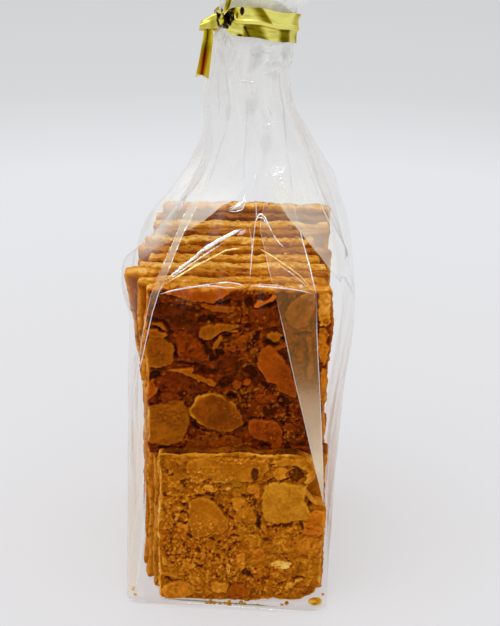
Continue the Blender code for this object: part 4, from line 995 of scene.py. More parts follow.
def crumple(angle, height):
    """How the loose film stands off its even shape, in millimetres: long folds that run up to the neck."""
    cx, cy = np.cos(angle), np.sin(angle)
    side = ramp(-np.abs(np.sin(angle)), -0.9, -0.45)
    loose = ramp(height, 104.0, 120.0) * (1.0 - ramp(height, 166.0, 174.0)) + ramp(height, 183.0, 192.0)
    drawn = 0.12 * np.minimum(height, 100.0) + 0.33 * np.maximum(height - 100.0, 0.0)
    fold = cloud(30.0 * cx, 30.0 * cy, drawn, 8.0, 31)
    small = cloud(30.0 * cx, 30.0 * cy, 1.5 * drawn, 3.2, 32)
    dent = cloud(30.0 * cx, 30.0 * cy, height * 0.7, 12.0, 33)
    sharp = 1.0 - 2.0 * np.abs(fold) ** 0.7
    on_load = 0.12 + 0.75 * side * ramp(height, 4.0, 20.0)
    slack = loose * (0.8 * sharp + 0.35 * small + 0.7 * dent)
    return slack + (1.0 - loose) * on_load * (0.5 * sharp + 0.5 * dent)


# Where a tuile's corner holds the film out: x and y, which way, from what height, how far, over what reach.
HELD_OUT = [
    (-34.0, -15.2, -1.0, 0.0, 89.0, 2.9, 5.0), (24.6, -28.6, 0.7, -0.7, 86.0, 1.9, 2.5),
    (-24.6, 35.4, -0.6, 0.8, 88.0, 1.9, 2.5),
]


def film_point(angle, height, inset=0.0, wrinkled=True):
    """The film's surface in one direction from the middle of its section, at a height."""
    angle, height = np.broadcast_arrays(np.asarray(angle, float), np.asarray(height, float))
    left, right, front, back, power, gusset, pleat, tuck_fl, tuck_fr, tuck_bl = loft_values(height)
    along, across = np.cos(angle), np.sin(angle)
    reach = (np.abs(along) ** power + np.abs(across) ** power) ** (-1.0 / power)
    u, v = along * reach, across * reach
    u = u * (1.0 - gusset * bell(v, 0.42))
    wander = 0.55 * np.sin(2.0 * angle + 0.8) + 0.4 * np.sin(3.0 * angle + 2.1)
    fold = np.sin(PLEATS * angle + 2.2 * wander)
    depth = pleat * (0.75 * fold + 0.25 * np.sin(2 * PLEATS * angle + 1.3)) - inset
    if wrinkled:
        depth = depth + crumple(angle, height)
    forward, rear = np.maximum(-v, 0.0) ** 1.4, np.maximum(v, 0.0) ** 1.4
    tuck = np.where(u > 0.0, tuck_fr * forward, tuck_fl * forward + tuck_bl * rear)
    x = (left + right) / 2.0 + (right - left) / 2.0 * u + depth * along - u * tuck
    y = (front + back) / 2.0 + (back - front) / 2.0 * v + depth * across
    y = y - 0.07 * (1.0 - ramp(height, 0.0, 70.0)) * (x - (left + right) / 2.0) * np.maximum(0.0, -v)
    y = y - 0.5 * np.maximum(-v, 0.0) ** 6 * (1.0 - ramp(height, 106.0, 118.0))
    y = y + 4.2 * ramp(height, TIE_HEIGHT + TIE_BAND, MOUTH) * np.sin(2.5 * math.pi * u + 3.1)
    for corner_x, corner_y, away_x, away_y, foot, most, reach in HELD_OUT:
        off = np.maximum(np.hypot(x - corner_x, y - corner_y) - 3.0, 0.0)
        held = most * bell(off, reach) * ramp(height, foot, foot + 14.0)
        held = held * (1.0 - ramp(height, 107.5, 115.0))
        x, y = x + held * away_x, y + held * away_y
    # The neck leans under the tie.
    turn = TIE_TILT * ramp(height, 150.0, TIE_HEIGHT - TIE_BAND)
    turn = turn * (1.0 - ramp(height, TIE_HEIGHT + TIE_BAND, 200.0))
    aside, above = x - NECK_X, height - TIE_HEIGHT
    x = NECK_X + aside * np.cos(turn) + above * np.sin(turn)
    z = TIE_HEIGHT + above * np.cos(turn) - aside * np.sin(turn)
    return np.stack([x, y, z], axis=-1)


# Where the film's front is at each of some heights, from its left side at the angle pi to its right one. The
# sides are folded in, so the places are counted from the middle out to each corner, and no further.
FRONT_STEP = 0.5
FRONT_ANGLES = np.linspace(math.pi, 2.0 * math.pi, 481)
FRONT_HEIGHTS = np.arange(0.0, MOUTH + FRONT_STEP, FRONT_STEP)
FRONT_PLACES = film_point(FRONT_ANGLES[None, :], FRONT_HEIGHTS[:, None], wrinkled=False)[..., 0]
MIDDLE = len(FRONT_ANGLES) // 2
FRONT_PLACES[:, MIDDLE::-1] = np.minimum.accumulate(FRONT_PLACES[:, MIDDLE::-1], axis=1)
FRONT_PLACES[:, MIDDLE:] = np.maximum.accumulate(FRONT_PLACES[:, MIDDLE:], axis=1)


def front_angle(x, height):
    """The direction in which the film's front passes a given x at a height, from pi at the left to 2 pi."""
    x, height = np.broadcast_arrays(np.asarray(x, float), np.asarray(height, float))
    rows = np.clip(np.round(height / FRONT_STEP).astype(int), 0, len(FRONT_HEIGHTS) - 1)
    found = []
    for one, row in zip(x.ravel(), rows.ravel()):
        places = FRONT_PLACES[row]
        one = min(max(one, places[0] + 0.05), places[-1] - 0.05)
        found.append(np.interp(one, places, FRONT_ANGLES))
    return np.array(found).reshape(x.shape)


# The colours of milky film, from cool to warm with a painted glow of the tuiles behind it.
VEIL_TINTS = [
    (0.0, (0.95, 0.95, 0.93)), (0.3, (0.93, 0.88, 0.64)), (0.6, (0.93, 0.71, 0.47)),
    (1.0, (0.80, 0.42, 0.08)),
]


def film_material():
    """Clear film: see-through where it is flat, glossy at a glance, milky where the mesh says that it is."""
    material, finish = material_named("clear_film")
    haze, painted_glow, shine = finish.looks().parts()
    facing = finish.node("LayerWeight", None, {"Blend": 0.5}, out=1)
    smear = finish.node("TexNoise", None, {"Vector": finish.place(), "Scale": 120.0, "Detail": 3.0})
    milky = (haze * (0.75 + smear * 0.5)).clamped()
    # The painted glow warms the milky film's colour.
    tint = finish.node("ValToRGB", {"stops": VEIL_TINTS}, {0: painted_glow})
    veil = finish.node("BsdfPrincipled", None, {
        "Base Color": tint, "Roughness": 0.4, "Specular IOR Level": 0.4,
    })
    clear = finish.node("BsdfTransparent", None, {"Color": (0.985, 0.985, 0.982, 1.0)})
    ripple = finish.node("Bump", None, {"Strength": 0.12, "Distance": 0.002, "Height": smear})
    mirror = finish.node("BsdfPrincipled", None, {
        "Base Color": (0.93, 0.93, 0.93, 1.0), "Metallic": 1.0, "Roughness": 0.1, "Normal": ripple,
    })
    sheet = finish.node("MixShader", None, {0: milky, 1: clear, 2: veil})
    gloss = (0.55 * facing**4.5 + shine + 0.0006).clamped()
    surface = finish.node("MixShader", None, {0: gloss, 1: sheet, 2: mirror})
    finish.node("OutputMaterial", None, {"Surface": surface})
    return material


clear_film = film_material()


def film_looks(angle, height, y):
    """Haze, painted glow and shine of the bag's film at each of its points."""
    cos, sin = np.cos(angle), np.sin(angle)
    left_side, right_side = ramp(-cos, 0.71, 0.76), ramp(cos, 0.71, 0.76)
    streak = cloud(30 * cos, 30 * sin, height * 0.12, 3.0, 61)
    patch = cloud(30 * cos, 30 * sin, height * 0.4, 7.0, 62)
    fibre = cloud(60 * cos, 60 * sin, height * 0.1, 3.0, 63)
    stripe = cloud(0.0 * y, y, height * 0.06, 3.4, 64) + 0.4 * cloud(0.0 * y, y, height * 0.05, 1.9, 65)
    # The load, its lower half, the shoulders, the neck, and the fan above the tie.
    body = 1.0 - ramp(height, 96.0, 112.0)
    low = 1.0 - ramp(height, 34.0, 92.0)
    shoulder = ramp(height, 109.0, 118.0) * (1.0 - ramp(height, 126.0, 138.0))
    neck = ramp(height, 118.0, 160.0)
    above = ramp(height, 182.0, 188.0)
    haze = 0.03 * ramp(patch, 0.1, 0.8) * (1.0 - body) + neck * (0.14 + 0.16 * ramp(streak, -0.6, 0.8))
    haze = haze + 0.03 * neck * ramp(fibre, 0.1, 0.7) + 0.2 * ramp(height, 146.0, 166.0) + 0.2 * above
    haze = haze + 0.55 * shoulder * ramp(-cos, 0.68, 0.86)
    sides = np.maximum(left_side, right_side) * body * ramp(height, 0.5, 4.0)
    side_haze = 0.05 + (0.28 + 0.04 * right_side) * low
    haze = haze + sides * side_haze * (0.56 + 0.72 * ramp(stripe, -0.6, 0.9))
    # Painted glow: the tuiles' warm light on the film's sides and the lower shoulders.
    painted_glow = 0.34 * sides + 0.22 * shoulder * (1.0 - ramp(height, 113.0, 121.0))
    # The strip of the front that stands clear of the tuiles at the left is painted creamy with their glow.
    clear_strip = ramp(-cos, 0.645, 0.68) * (1.0 - left_side) * (sin < 0.0)
    clear_strip = clear_strip * (1.0 - ramp(height, 56.0, 76.0)) * ramp(height, 0.5, 4.0)
    haze = haze + 0.3 * clear_strip * (0.7 + 0.6 * ramp(streak, -0.5, 0.7))
    painted_glow = painted_glow + 0.62 * clear_strip
    shine = 0.05 * ramp(streak, 0.3, 0.9) * (1.0 - body)
    return np.stack([haze, painted_glow, shine], axis=-1)


def build_film():
    """The bag: its folded bottom, then its rows up to the mouth."""
    angles = np.linspace(0.0, 2.0 * math.pi, FILM_AROUND, endpoint=False)
    heights = np.concatenate([[0.0, 0.0, 1.2, 3.0], np.linspace(6.0, MOUTH, FILM_ROWS - 2)])
    grid_angle, grid_height = np.meshgrid(angles, heights)
    foot = [film_point(angles, 0.0, inset, wrinkled=False) for inset in (14.0, 1.2)]
    points = np.concatenate([np.stack(foot), film_point(grid_angle[2:], grid_height[2:])])
    looks = film_looks(grid_angle, grid_height, points[..., 1])
    quads = bands([FILM_AROUND * k for k in range(len(heights))], FILM_AROUND)
    faces = [*quads[:, ::-1], range(FILM_AROUND - 1, -1, -1)]
    film = mesh_piece("film_bag", clear_film, points.reshape(-1, 3), faces, looks.reshape(-1, 3))
    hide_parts("bag")
    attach(film, "root")


build_film()


# ------------------------------------------------------------
# Folds in the film: where it lies double, from the shoulders down to the corners of the load, and is milky.
# Each is a second sheet of the same clear film, pressed flat on the first by the gathering of the neck.

FOLD_LIFT, FOLD_STEP = 0.15, 0.12  # off the bag, and how much more for each fold

# Rows of height, left and right edge, haze, and warmth of the painted glow.
FOLDS = {
    "left_pleat": [
        (136.0, -11.2, -10.8, 0.3, 0.0), (127.0, -16.0, -13.3, 0.42, 0.05), (118.5, -20.0, -17.9, 0.38, 0.2),
        (114.4, -22.4, -20.2, 0.32, 0.35), (110.3, -24.8, -22.4, 0.27, 0.5), (105.0, -27.0, -24.9, 0.24, 0.7),
        (99.0, -28.3, -26.7, 0.1, 0.9), (93.0, -29.5, -28.0, 0.06, 1.0), (88.0, -30.3, -29.4, 0.05, 1.0),
        (78.0, -31.6, -31.2, 0.05, 0.8), (69.0, -32.9, -32.6, 0.1, 0.5), (56.0, -34.4, -34.2, 0.15, 0.4),
    ],
    "right_pleat": [
        (133.5, 9.2, 9.6, 0.05, 0.2), (130.5, 6.8, 12.4, 0.08, 0.2), (121.2, 4.3, 15.8, 0.12, 0.5),
        (116.4, 5.8, 17.4, 0.13, 0.6), (111.3, 7.1, 18.9, 0.13, 0.7), (106.6, 8.5, 20.3, 0.13, 0.9),
        (101.6, 9.7, 20.9, 0.14, 1.0), (94.0, 11.5, 21.1, 0.14, 1.0), (86.5, 13.0, 21.6, 0.16, 1.0),
        (78.5, 15.0, 22.2, 0.24, 0.9), (73.0, 16.3, 22.4, 0.42, 0.72), (64.0, 18.5, 23.1, 0.54, 0.62),
        (57.5, 20.0, 23.7, 0.62, 0.54), (53.5, 21.0, 24.0, 0.7, 0.48), (46.0, 22.8, 24.3, 0.7, 0.42),
        (39.0, 24.3, 24.5, 0.55, 0.36),
    ],
    "left_shoulder": [
        (141.0, -7.4, -7.0, 0.0, 0.0), (133.0, -19.0, 0.2, 0.2, 0.02), (129.4, -23.0, -2.3, 0.5, 0.03),
        (127.8, -24.0, -5.7, 0.56, 0.05), (125.5, -26.0, -8.6, 0.52, 0.12), (123.4, -28.0, -11.5, 0.42, 0.2),
        (121.6, -29.0, -14.4, 0.32, 0.3), (120.3, -30.0, -17.3, 0.25, 0.35), (118.2, -31.0, -20.2, 0.18, 0.4),
        (116.2, -32.0, -23.6, 0.14, 0.4), (114.5, -33.0, -26.6, 0.12, 0.4), (111.5, -35.0, -30.1, 0.08, 0.4),
        (110.0, -36.0, -32.0, 0.0, 0.4),
    ],
    "right_shoulder": [
        (139.0, 13.0, 13.4, 0.0, 0.1), (131.6, 6.9, 27.0, 0.24, 0.15), (128.3, 9.4, 28.0, 0.35, 0.16),
        (125.2, 11.8, 29.0, 0.42, 0.16), (121.3, 15.3, 30.0, 0.44, 0.2), (118.7, 17.7, 31.0, 0.41, 0.2),
        (115.4, 20.7, 32.0, 0.35, 0.18), (111.7, 24.1, 33.0, 0.28, 0.15), (108.8, 27.3, 34.0, 0.16, 0.1),
        (106.0, 29.6, 35.0, 0.0, 0.1),
    ],
}
# How the shoulders' haze fades from their crisp inner edge out to the side of the bag.
FAINT = {"left_shoulder": (0.3, 0.85, 1.0), "right_shoulder": (1.0, 0.7, 0.0)}


def fold_sheet(rows, lift, faint, columns=14):
    """Points and looks of a strip of film that lies on the bag between two edges."""
    rows = np.array(rows)[::-1]
    heights = np.arange(rows[0, 0], rows[-1, 0] + 0.01, 0.8)
    left = front_angle(np.interp(heights, rows[:, 0], rows[:, 1]), heights)
    right = front_angle(np.interp(heights, rows[:, 0], rows[:, 2]), heights)
    share = np.linspace(0.0, 1.0, columns)
    angle = left[:, None] + (right - left)[:, None] * share
    haze, painted_glow = (np.interp(heights, rows[:, 0], rows[:, k])[:, None] + 0.0 * angle for k in (3, 4))
    haze = haze * np.interp(share, [0.0, 0.5, 1.0], faint)
    return film_point(angle, heights[:, None], -lift), np.stack([haze, painted_glow, 0.0 * haze], axis=-1)


def build_folds():
    sheets = []
    for layer, (name, rows) in enumerate(FOLDS.items()):
        faint = FAINT.get(name, (1.0, 1.0, 1.0))
        points, looks = fold_sheet(rows, FOLD_LIFT + FOLD_STEP * layer, faint)
        faces = grid_quads(*points.shape[:2])[:, [0, 3, 2, 1]]
        sheets.append((points.reshape(-1, 3), faces, looks.reshape(-1, 3)))
    piece = mesh_piece("film_folds", clear_film, *joined(sheets))
    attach(piece, "root")


build_folds()


# ------------------------------------------------------------
# Creases in the film: sharp folded edges that catch the light, and small flat facets between them. They are
# narrow ridges and plates of the same film, pressed out where it was gathered, tucked and pulled tight. Each
# is a mirror with a painted tint: white, golden and pink ones are painted reflections of the lamp and the
# tuiles, grey ones painted dark reflections, and the olive one a painted shadow.

# Painted reflection colours of the creases and facets; OLIVE is a painted shadow.
BRIGHT, GOLD, PINK = (0.96, 0.96, 0.96), (0.95, 0.66, 0.25), (0.95, 0.70, 0.66)
GREY, OLIVE = (0.30, 0.31, 0.30), (0.22, 0.17, 0.02)
# Grey ones are fainter by this, as creases and as facets.
GREY_CREASE, GREY_FACET = 0.5, 0.55
# How far the creases stand off the bag, and the facets at their middle, half way and at their corners.
CREASE_LIFT = 0.32
FACET_LIFTS = (0.55, 0.48, 0.36)
# Painted reflection colour of each crease, how solid it is, half its width, and its points on the front
# as x and z.
CREASES = [
    (BRIGHT, 0.5, 0.14, [(3.2, 135.7), (2.9, 129.6), (3.3, 124.1), (2.7, 121.2), (2.3, 117.5),
     (1.2, 107.9)]),
    (BRIGHT, 0.35, 0.12, [(0.9, 122.4), (1.7, 119.6), (2.1, 116.4), (1.6, 113.3)]),
    (BRIGHT, 0.9, 0.17, [(3.1, 123.2), (3.7, 124.4), (4.6, 124.9), (5.8, 124.1), (7.0, 122.0),
     (8.2, 120.0)]),
    (BRIGHT, 0.7, 0.15, [(8.2, 120.0), (9.7, 118.3), (11.1, 117.2)]),
    (BRIGHT, 0.6, 0.13, [(2.6, 122.8), (3.8, 123.9), (5.3, 123.9), (6.8, 121.6)]),
    (BRIGHT, 0.7, 0.3, [(-22.6, 109.2), (-18.1, 112.3), (-14.3, 114.6), (-10.9, 117.1), (-7.5, 119.0)]),
    (BRIGHT, 0.95, 0.42, [(-12.0, 116.0), (-10.2, 117.2), (-7.5, 118.8), (-3.9, 120.4), (-0.8, 121.7)]),
    (BRIGHT, 0.6, 0.14, [(-22.9, 108.6), (-17.6, 111.7), (-13.3, 114.1), (-9.4, 116.4), (-5.6, 118.4)]),
    (GOLD, 0.9, 0.2, [(-23.1, 108.1), (-18.5, 110.4), (-14.2, 112.6), (-9.9, 114.4), (-5.6, 116.2),
     (1.0, 117.3)]),
    (GOLD, 0.8, 0.15, [(2.8, 117.2), (5.6, 115.8), (9.0, 114.4), (12.4, 112.6), (15.8, 110.5),
     (19.9, 106.5)]),
    (BRIGHT, 0.45, 0.12, [(9.0, 113.4), (12.9, 111.4), (16.3, 109.0), (18.5, 107.2)]),
    (BRIGHT, 0.85, 0.2, [(-24.8, 104.9), (-20.9, 106.3), (-17.0, 107.1), (-12.2, 107.8), (-8.4, 108.5)]),
    (BRIGHT, 0.8, 0.16, [(-9.0, 108.4), (-4.5, 108.8), (-1.6, 108.3), (0.3, 107.6)]),
    (PINK, 0.8, 0.18, [(-19.0, 107.0), (-15.1, 107.5), (-10.3, 107.7), (-5.5, 107.4), (-1.1, 107.2)]),
    (BRIGHT, 0.8, 0.18, [(1.5, 107.9), (5.2, 107.7), (9.0, 107.5), (12.9, 107.2), (16.3, 106.6),
     (19.9, 105.6)]),
    (PINK, 0.5, 0.14, [(1.3, 107.4), (4.2, 108.3), (8.0, 108.2), (11.9, 107.6)]),
    (BRIGHT, 0.5, 0.13, [(12.5, 132.7), (13.8, 128.4), (15.3, 122.9)]),
    (BRIGHT, 0.75, 0.16, [(15.3, 122.9), (16.8, 118.3), (18.2, 113.6), (19.4, 109.5), (20.7, 105.2)]),
    (BRIGHT, 0.6, 0.14, [(20.7, 105.2), (21.1, 94.0), (21.6, 86.5), (22.2, 78.5), (23.1, 64.0),
     (24.5, 39.0)]),
    (BRIGHT, 0.3, 0.12, [(6.2, 131.1), (4.3, 121.2), (5.8, 116.4), (7.1, 111.3), (8.5, 106.7)]),
    (BRIGHT, 0.5, 0.13, [(8.5, 106.7), (9.7, 101.6), (11.5, 94.0), (15.0, 78.5), (18.5, 64.0),
     (24.3, 39.0)]),
    (BRIGHT, 0.35, 0.12, [(-16.0, 126.5), (-18.3, 121.9), (-20.2, 117.9), (-22.5, 114.1), (-24.9, 110.2)]),
    (BRIGHT, 0.6, 0.13, [(-13.3, 127.6), (-15.4, 123.4), (-17.8, 119.0), (-20.1, 114.7), (-22.4, 110.4)]),
    (BRIGHT, 0.7, 0.15, [(-22.4, 110.4), (-24.8, 105.6), (-26.7, 99.4), (-28.0, 93.3), (-31.2, 78.0)]),
    (BRIGHT, 0.45, 0.13, [(-24.9, 110.2), (-27.2, 104.4), (-28.5, 98.1), (-29.5, 92.9), (-32.8, 69.0)]),
    (GREY, 0.3, 0.14, [(9.4, 128.3), (11.8, 125.2), (15.3, 121.3), (20.7, 115.4), (24.1, 111.7),
     (27.3, 108.8)]),
    (GREY, 0.45, 0.16, [(24.1, 111.7), (27.0, 108.8), (29.6, 105.6), (31.7, 99.2), (33.7, 91.6)]),
    (GREY, 0.4, 0.14, [(32.0, 101.5), (33.5, 95.4), (34.0, 90.0)]),
    (GREY, 0.3, 0.2, [(29.6, 105.6), (29.3, 102.5), (28.5, 98.6), (28.1, 93.1), (27.6, 80.0)]),
    (BRIGHT, 0.7, 0.15, [(20.4, 132.0), (22.2, 126.9), (23.7, 123.6), (25.3, 120.0)]),
    (BRIGHT, 0.8, 0.13, [(-4.6, 126.3), (-2.8, 126.0), (-0.8, 126.5), (0.1, 128.5)]),
    (BRIGHT, 0.7, 0.13, [(-4.6, 126.7), (-2.3, 128.0), (-0.6, 128.6), (0.2, 130.9)]),
    (GOLD, 0.7, 0.13, [(-4.0, 126.3), (-1.8, 127.5), (-0.1, 128.0)]),
    (BRIGHT, 0.7, 0.2, [(10.2, 137.4), (9.6, 135.3), (10.6, 133.2), (13.0, 129.7)]),
    (BRIGHT, 0.4, 0.3, [(3.3, 135.5), (2.7, 133.3), (2.2, 130.8)]),
    (GREY, 0.5, 0.2, [(9.1, 166.4), (9.2, 162.1), (9.6, 157.7), (10.4, 151.8), (11.3, 146.8),
     (12.1, 141.4)]),
    (GREY, 0.35, 0.2, [(12.1, 141.4), (12.8, 136.8), (13.6, 130.5)]),
    (GREY, 0.3, 0.16, [(17.1, 140.4), (19.0, 135.4), (20.5, 131.5), (22.0, 127.6)]),
    (GREY, 0.35, 0.2, [(-6.6, 164.2), (-5.8, 160.6), (-5.4, 157.8), (-4.5, 155.2)]),
    (GREY, 0.3, 0.2, [(-5.5, 147.8), (-6.9, 143.1), (-8.7, 137.9), (-10.9, 131.4)]),
    (GREY, 0.25, 0.16, [(-8.7, 163.4), (-8.7, 157.4), (-8.3, 152.4), (-8.8, 150.1)]),
    (GREY, 0.2, 0.25, [(-0.5, 159.5), (0.0, 154.3), (0.1, 149.1), (-0.3, 140.3), (-0.5, 132.7)]),
    (GREY, 0.4, 0.15, [(1.0, 159.3), (2.1, 157.1), (3.1, 159.9)]),
    (BRIGHT, 0.7, 0.16, [(6.2, 154.6), (6.6, 153.2), (7.3, 151.5)]),
    (BRIGHT, 0.8, 0.18, [(-2.6, 170.0), (-2.7, 168.6), (-2.0, 166.5)]),
    (BRIGHT, 0.9, 0.17, [(-2.0, 161.5), (-0.5, 161.8), (0.9, 161.3), (2.6, 161.4)]),
    (BRIGHT, 0.6, 0.2, [(4.3, 164.4), (6.4, 164.8), (8.7, 166.1)]),
    (BRIGHT, 0.6, 0.18, [(4.8, 167.4), (6.3, 169.0), (8.5, 170.0)]),
    (BRIGHT, 0.55, 0.35, [(8.5, 168.1), (10.2, 166.8), (12.2, 166.0), (13.2, 167.0)]),
    (BRIGHT, 0.5, 0.2, [(-5.7, 165.3), (-4.5, 164.1), (-4.0, 159.6)]),
    (BRIGHT, 0.5, 0.16, [(-1.8, 166.2), (-2.0, 164.0), (-0.9, 161.1)]),
    (BRIGHT, 0.3, 0.13, [(21.1, 58.1), (24.6, 43.1), (27.6, 29.6)]),
    (BRIGHT, 0.6, 0.3, [(-33.2, 3.0), (-32.3, 9.0), (-31.0, 20.0), (-29.8, 31.0), (-29.2, 45.0)]),
    # A painted shadow just below the front lower tuile.
    (OLIVE, 0.75, 0.3, [(-23.8, 2.9), (-10.2, 2.5), (0.3, 2.2), (11.4, 1.9)]),
    (BRIGHT, 0.85, 0.17, [(-22.0, 1.8), (-5.8, 1.2), (12.5, 0.6), (20.0, 0.5), (27.0, 0.5)]),
]
# Facets: painted reflection colour, how solid, and corners as x and z.
FACETS = [
    (BRIGHT, 0.62, [(-4.6, 126.3), (-2.8, 127.8), (-0.8, 128.4), (0.0, 130.3), (0.2, 128.5), (-0.8, 126.8)]),
    (PINK, 0.7, [(-2.4, 120.2), (-1.0, 121.3), (0.1, 121.6), (0.3, 120.8), (-0.9, 120.0)]),
    (BRIGHT, 0.5, [(15.3, 108.2), (16.3, 108.4), (16.8, 107.5), (15.8, 107.3)]),
    (BRIGHT, 0.7, [(-20.2, 124.4), (-18.4, 127.6), (-16.7, 129.4), (-17.2, 126.7), (-18.7, 124.6)]),
    (BRIGHT, 0.3, [(15.2, 133.6), (18.2, 132.2), (19.5, 127.9), (18.7, 125.9), (16.2, 126.9)]),
    (BRIGHT, 0.28, [(5.0, 135.7), (8.8, 137.5), (11.7, 138.3), (10.8, 134.0), (12.4, 130.4), (8.9, 132.5)]),
    (GREY, 0.3, [(1.2, 169.2), (3.4, 170.1), (4.8, 168.3), (3.8, 166.7), (1.6, 164.3), (0.0, 163.7)]),
    (GREY, 0.22, [(5.2, 167.3), (7.4, 168.3), (10.3, 167.5), (8.5, 166.4), (5.6, 166.0)]),
    (GREY, 0.24, [(0.1, 156.5), (3.2, 157.2), (3.4, 154.2), (1.8, 151.5), (0.1, 152.0)]),
    (GREY, 0.18, [(4.4, 146.3), (7.0, 147.2), (7.4, 141.8), (5.3, 140.0), (3.9, 143.4)]),
    (GREY, 0.3, [(8.8, 170.8), (10.1, 171.8), (11.5, 168.1), (10.1, 168.3)]),
    (GREY, 0.25, [(-5.2, 156.4), (-4.3, 154.5), (-4.6, 150.7), (-5.5, 148.5), (-6.1, 151.8)]),
    (GREY, 0.25, [(11.5, 159.2), (12.4, 158.4), (13.0, 155.0), (12.5, 154.7)]),
    (BRIGHT, 0.9, [(4.6, 147.5), (5.5, 149.2), (7.9, 150.2), (7.0, 148.5), (5.9, 148.3)]),
    (BRIGHT, 0.8, [(-6.8, 175.4), (-6.1, 175.9), (-5.2, 174.8), (-6.3, 174.5)]),
    (BRIGHT, 0.4, [(3.5, 170.5), (6.6, 169.3), (8.8, 170.4), (8.4, 172.3), (3.7, 172.8)]),
    (GREY, 0.3, [(-8.1, 172.4), (-7.5, 171.7), (-8.1, 170.6)]),
    (BRIGHT, 0.45, [(4.5, 169.9), (4.3, 172.7), (10.6, 173.2), (9.9, 170.7), (6.3, 168.8)]),
    (BRIGHT, 0.5, [(3.9, 165.8), (4.9, 168.1), (9.6, 169.3), (7.8, 167.0), (5.0, 165.3)]),
    (BRIGHT, 0.4, [(12.1, 170.8), (13.3, 170.4), (13.2, 167.1), (12.3, 167.8)]),
    (BRIGHT, 0.4, [(-7.9, 172.1), (-6.4, 173.6), (-3.5, 173.2), (-4.5, 169.8), (-7.0, 170.5)]),
    (BRIGHT, 0.35, [(-4.5, 168.7), (-2.4, 169.5), (-0.9, 166.2), (-2.6, 163.1), (-4.1, 164.6)]),
    (GREY, 0.28, [(0.9, 171.0), (4.3, 172.5), (4.9, 169.6), (2.7, 167.9), (0.7, 169.2)]),
    (GREY, 0.25, [(9.7, 172.6), (12.0, 173.0), (11.8, 169.7), (10.0, 168.9)]),
    (GREY, 0.2, [(-8.2, 169.0), (-7.1, 169.4), (-6.3, 164.6), (-7.6, 164.6)]),
    (GREY, 0.2, [(5.0, 164.7), (7.9, 165.5), (9.7, 163.3), (7.2, 161.7)]),
]


def crease_material():
    """A mirror tinted with a painted reflection colour: its colour and how solid it is come from the mesh."""
    material, finish = material_named("film_crease")
    crinkle = finish.node("TexNoise", None, {"Vector": finish.place(), "Scale": 900.0, "Detail": 2.0})
    bump = finish.node("Bump", None, {"Strength": 0.5, "Distance": 0.001, "Height": crinkle})
    clear = finish.node("BsdfTransparent", None, {"Color": (1.0, 1.0, 1.0, 1.0)})
    mirror = finish.node("BsdfPrincipled", None, {
        "Base Color": finish.looks(), "Metallic": 1.0, "Roughness": 0.18, "Normal": bump,
    })
    surface = finish.node("MixShader", None, {0: finish.looks(out=3), 1: clear, 2: mirror})
    finish.node("OutputMaterial", None, {"Surface": surface})
    return material


def unit(vectors):
    return vectors / np.maximum(np.linalg.norm(vectors, axis=-1, keepdims=True), 1e-9)


def spread(points, step):
    """Points along a line through the given ones, at about the given step, and the share of its length."""
    points = np.asarray(points, float)
    lengths = np.concatenate([[0.0], np.cumsum(np.hypot(*np.diff(points, axis=0).T))])
    places = np.linspace(0.0, lengths[-1], max(int(lengths[-1] / step), 2) + 1)
    return np.stack([np.interp(places, lengths, points[:, k]) for k in (0, 1)], axis=1), places / lengths[-1]


def on_front(places, lift):
    """The points on the film's front at the given x and z, raised off it."""
    return film_point(front_angle(places[:, 0], places[:, 1]), places[:, 1], -lift)


def crease_ridge(colour, cover, half, line):
    """A narrow ridge along a line, with thin ends."""
    line, share = spread(line, 0.5)
    taper = np.minimum(ramp(share, 0.0, 0.18), 1.0 - ramp(share, 0.82, 1.0))
    along = unit(np.gradient(line, axis=0))
    aside = np.stack([along[:, 1], -along[:, 0]], axis=1) * (half * (0.35 + 0.65 * taper))[:, None]
    lines = ((line - aside, 0.0), (line, half), (line + aside, 0.0))
    columns = [on_front(places, CREASE_LIFT + rise) for places, rise in lines]
    solid = cover * (0.3 + 0.7 * taper) * (GREY_CREASE if colour == GREY else 1.0)
    looks = np.concatenate([np.broadcast_to(colour, (len(line), 3)), solid[:, None]], axis=1)
    faces = grid_quads(len(line), 3)[:, [0, 3, 2, 1]]
    return np.stack(columns, axis=1).reshape(-1, 3), faces, np.repeat(looks, 3, axis=0)


def crease_facet(colour, cover, corners):
    """A flat plate between some corners, that fades towards them."""
    corners = np.array(corners)
    count = len(corners)
    middle = corners.mean(axis=0)
    places = np.concatenate([middle[None, :], (corners + middle) / 2.0, corners])
    faces = []
    for k in range(count):
        inner, inner_next = 1 + k, 1 + (k + 1) % count
        faces += [[0, inner, inner_next], [inner, inner + count, inner_next + count, inner_next]]
    looks = np.array([(*colour, cover * (GREY_FACET if colour == GREY else 1.0))] * len(places))
    looks[1 + count:, 3] *= 0.4
    return on_front(places, np.repeat(FACET_LIFTS, (1, count, count))), faces, looks


def build_creases():
    parts = [crease_ridge(*crease) for crease in CREASES] + [crease_facet(*facet) for facet in FACETS]
    piece = mesh_piece("film_creases", crease_material(), *joined(parts))
    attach(piece, "root")


build_creases()


# ------------------------------------------------------------
# The tie: a gold foil ribbon with a wire along its middle, wound once round the neck. Its two ends are
# twisted together at the front left; one is rolled up and hangs down in a V, the other stands up before the
# film's fan.

BAND_SLOPE = math.radians(9.0)
FOIL = 0.16  # thickness of the ribbon
# The loop seen from above, with a sharp fold at its right end.
LOOP_PLAN = [
    (-7.6, -2.9), (-4.6, -4.6), (-0.5, -5.1), (4.0, -4.9), (8.6, -3.8), (12.4, -1.6), (14.9, 1.4),
    (15.1, 2.2), (14.6, 3.0), (11.6, 6.2), (6.6, 8.7), (1.0, 9.3), (-4.4, 8.2), (-8.2, 5.2),
    (-9.6, 1.8), (-9.2, -1.2),
]


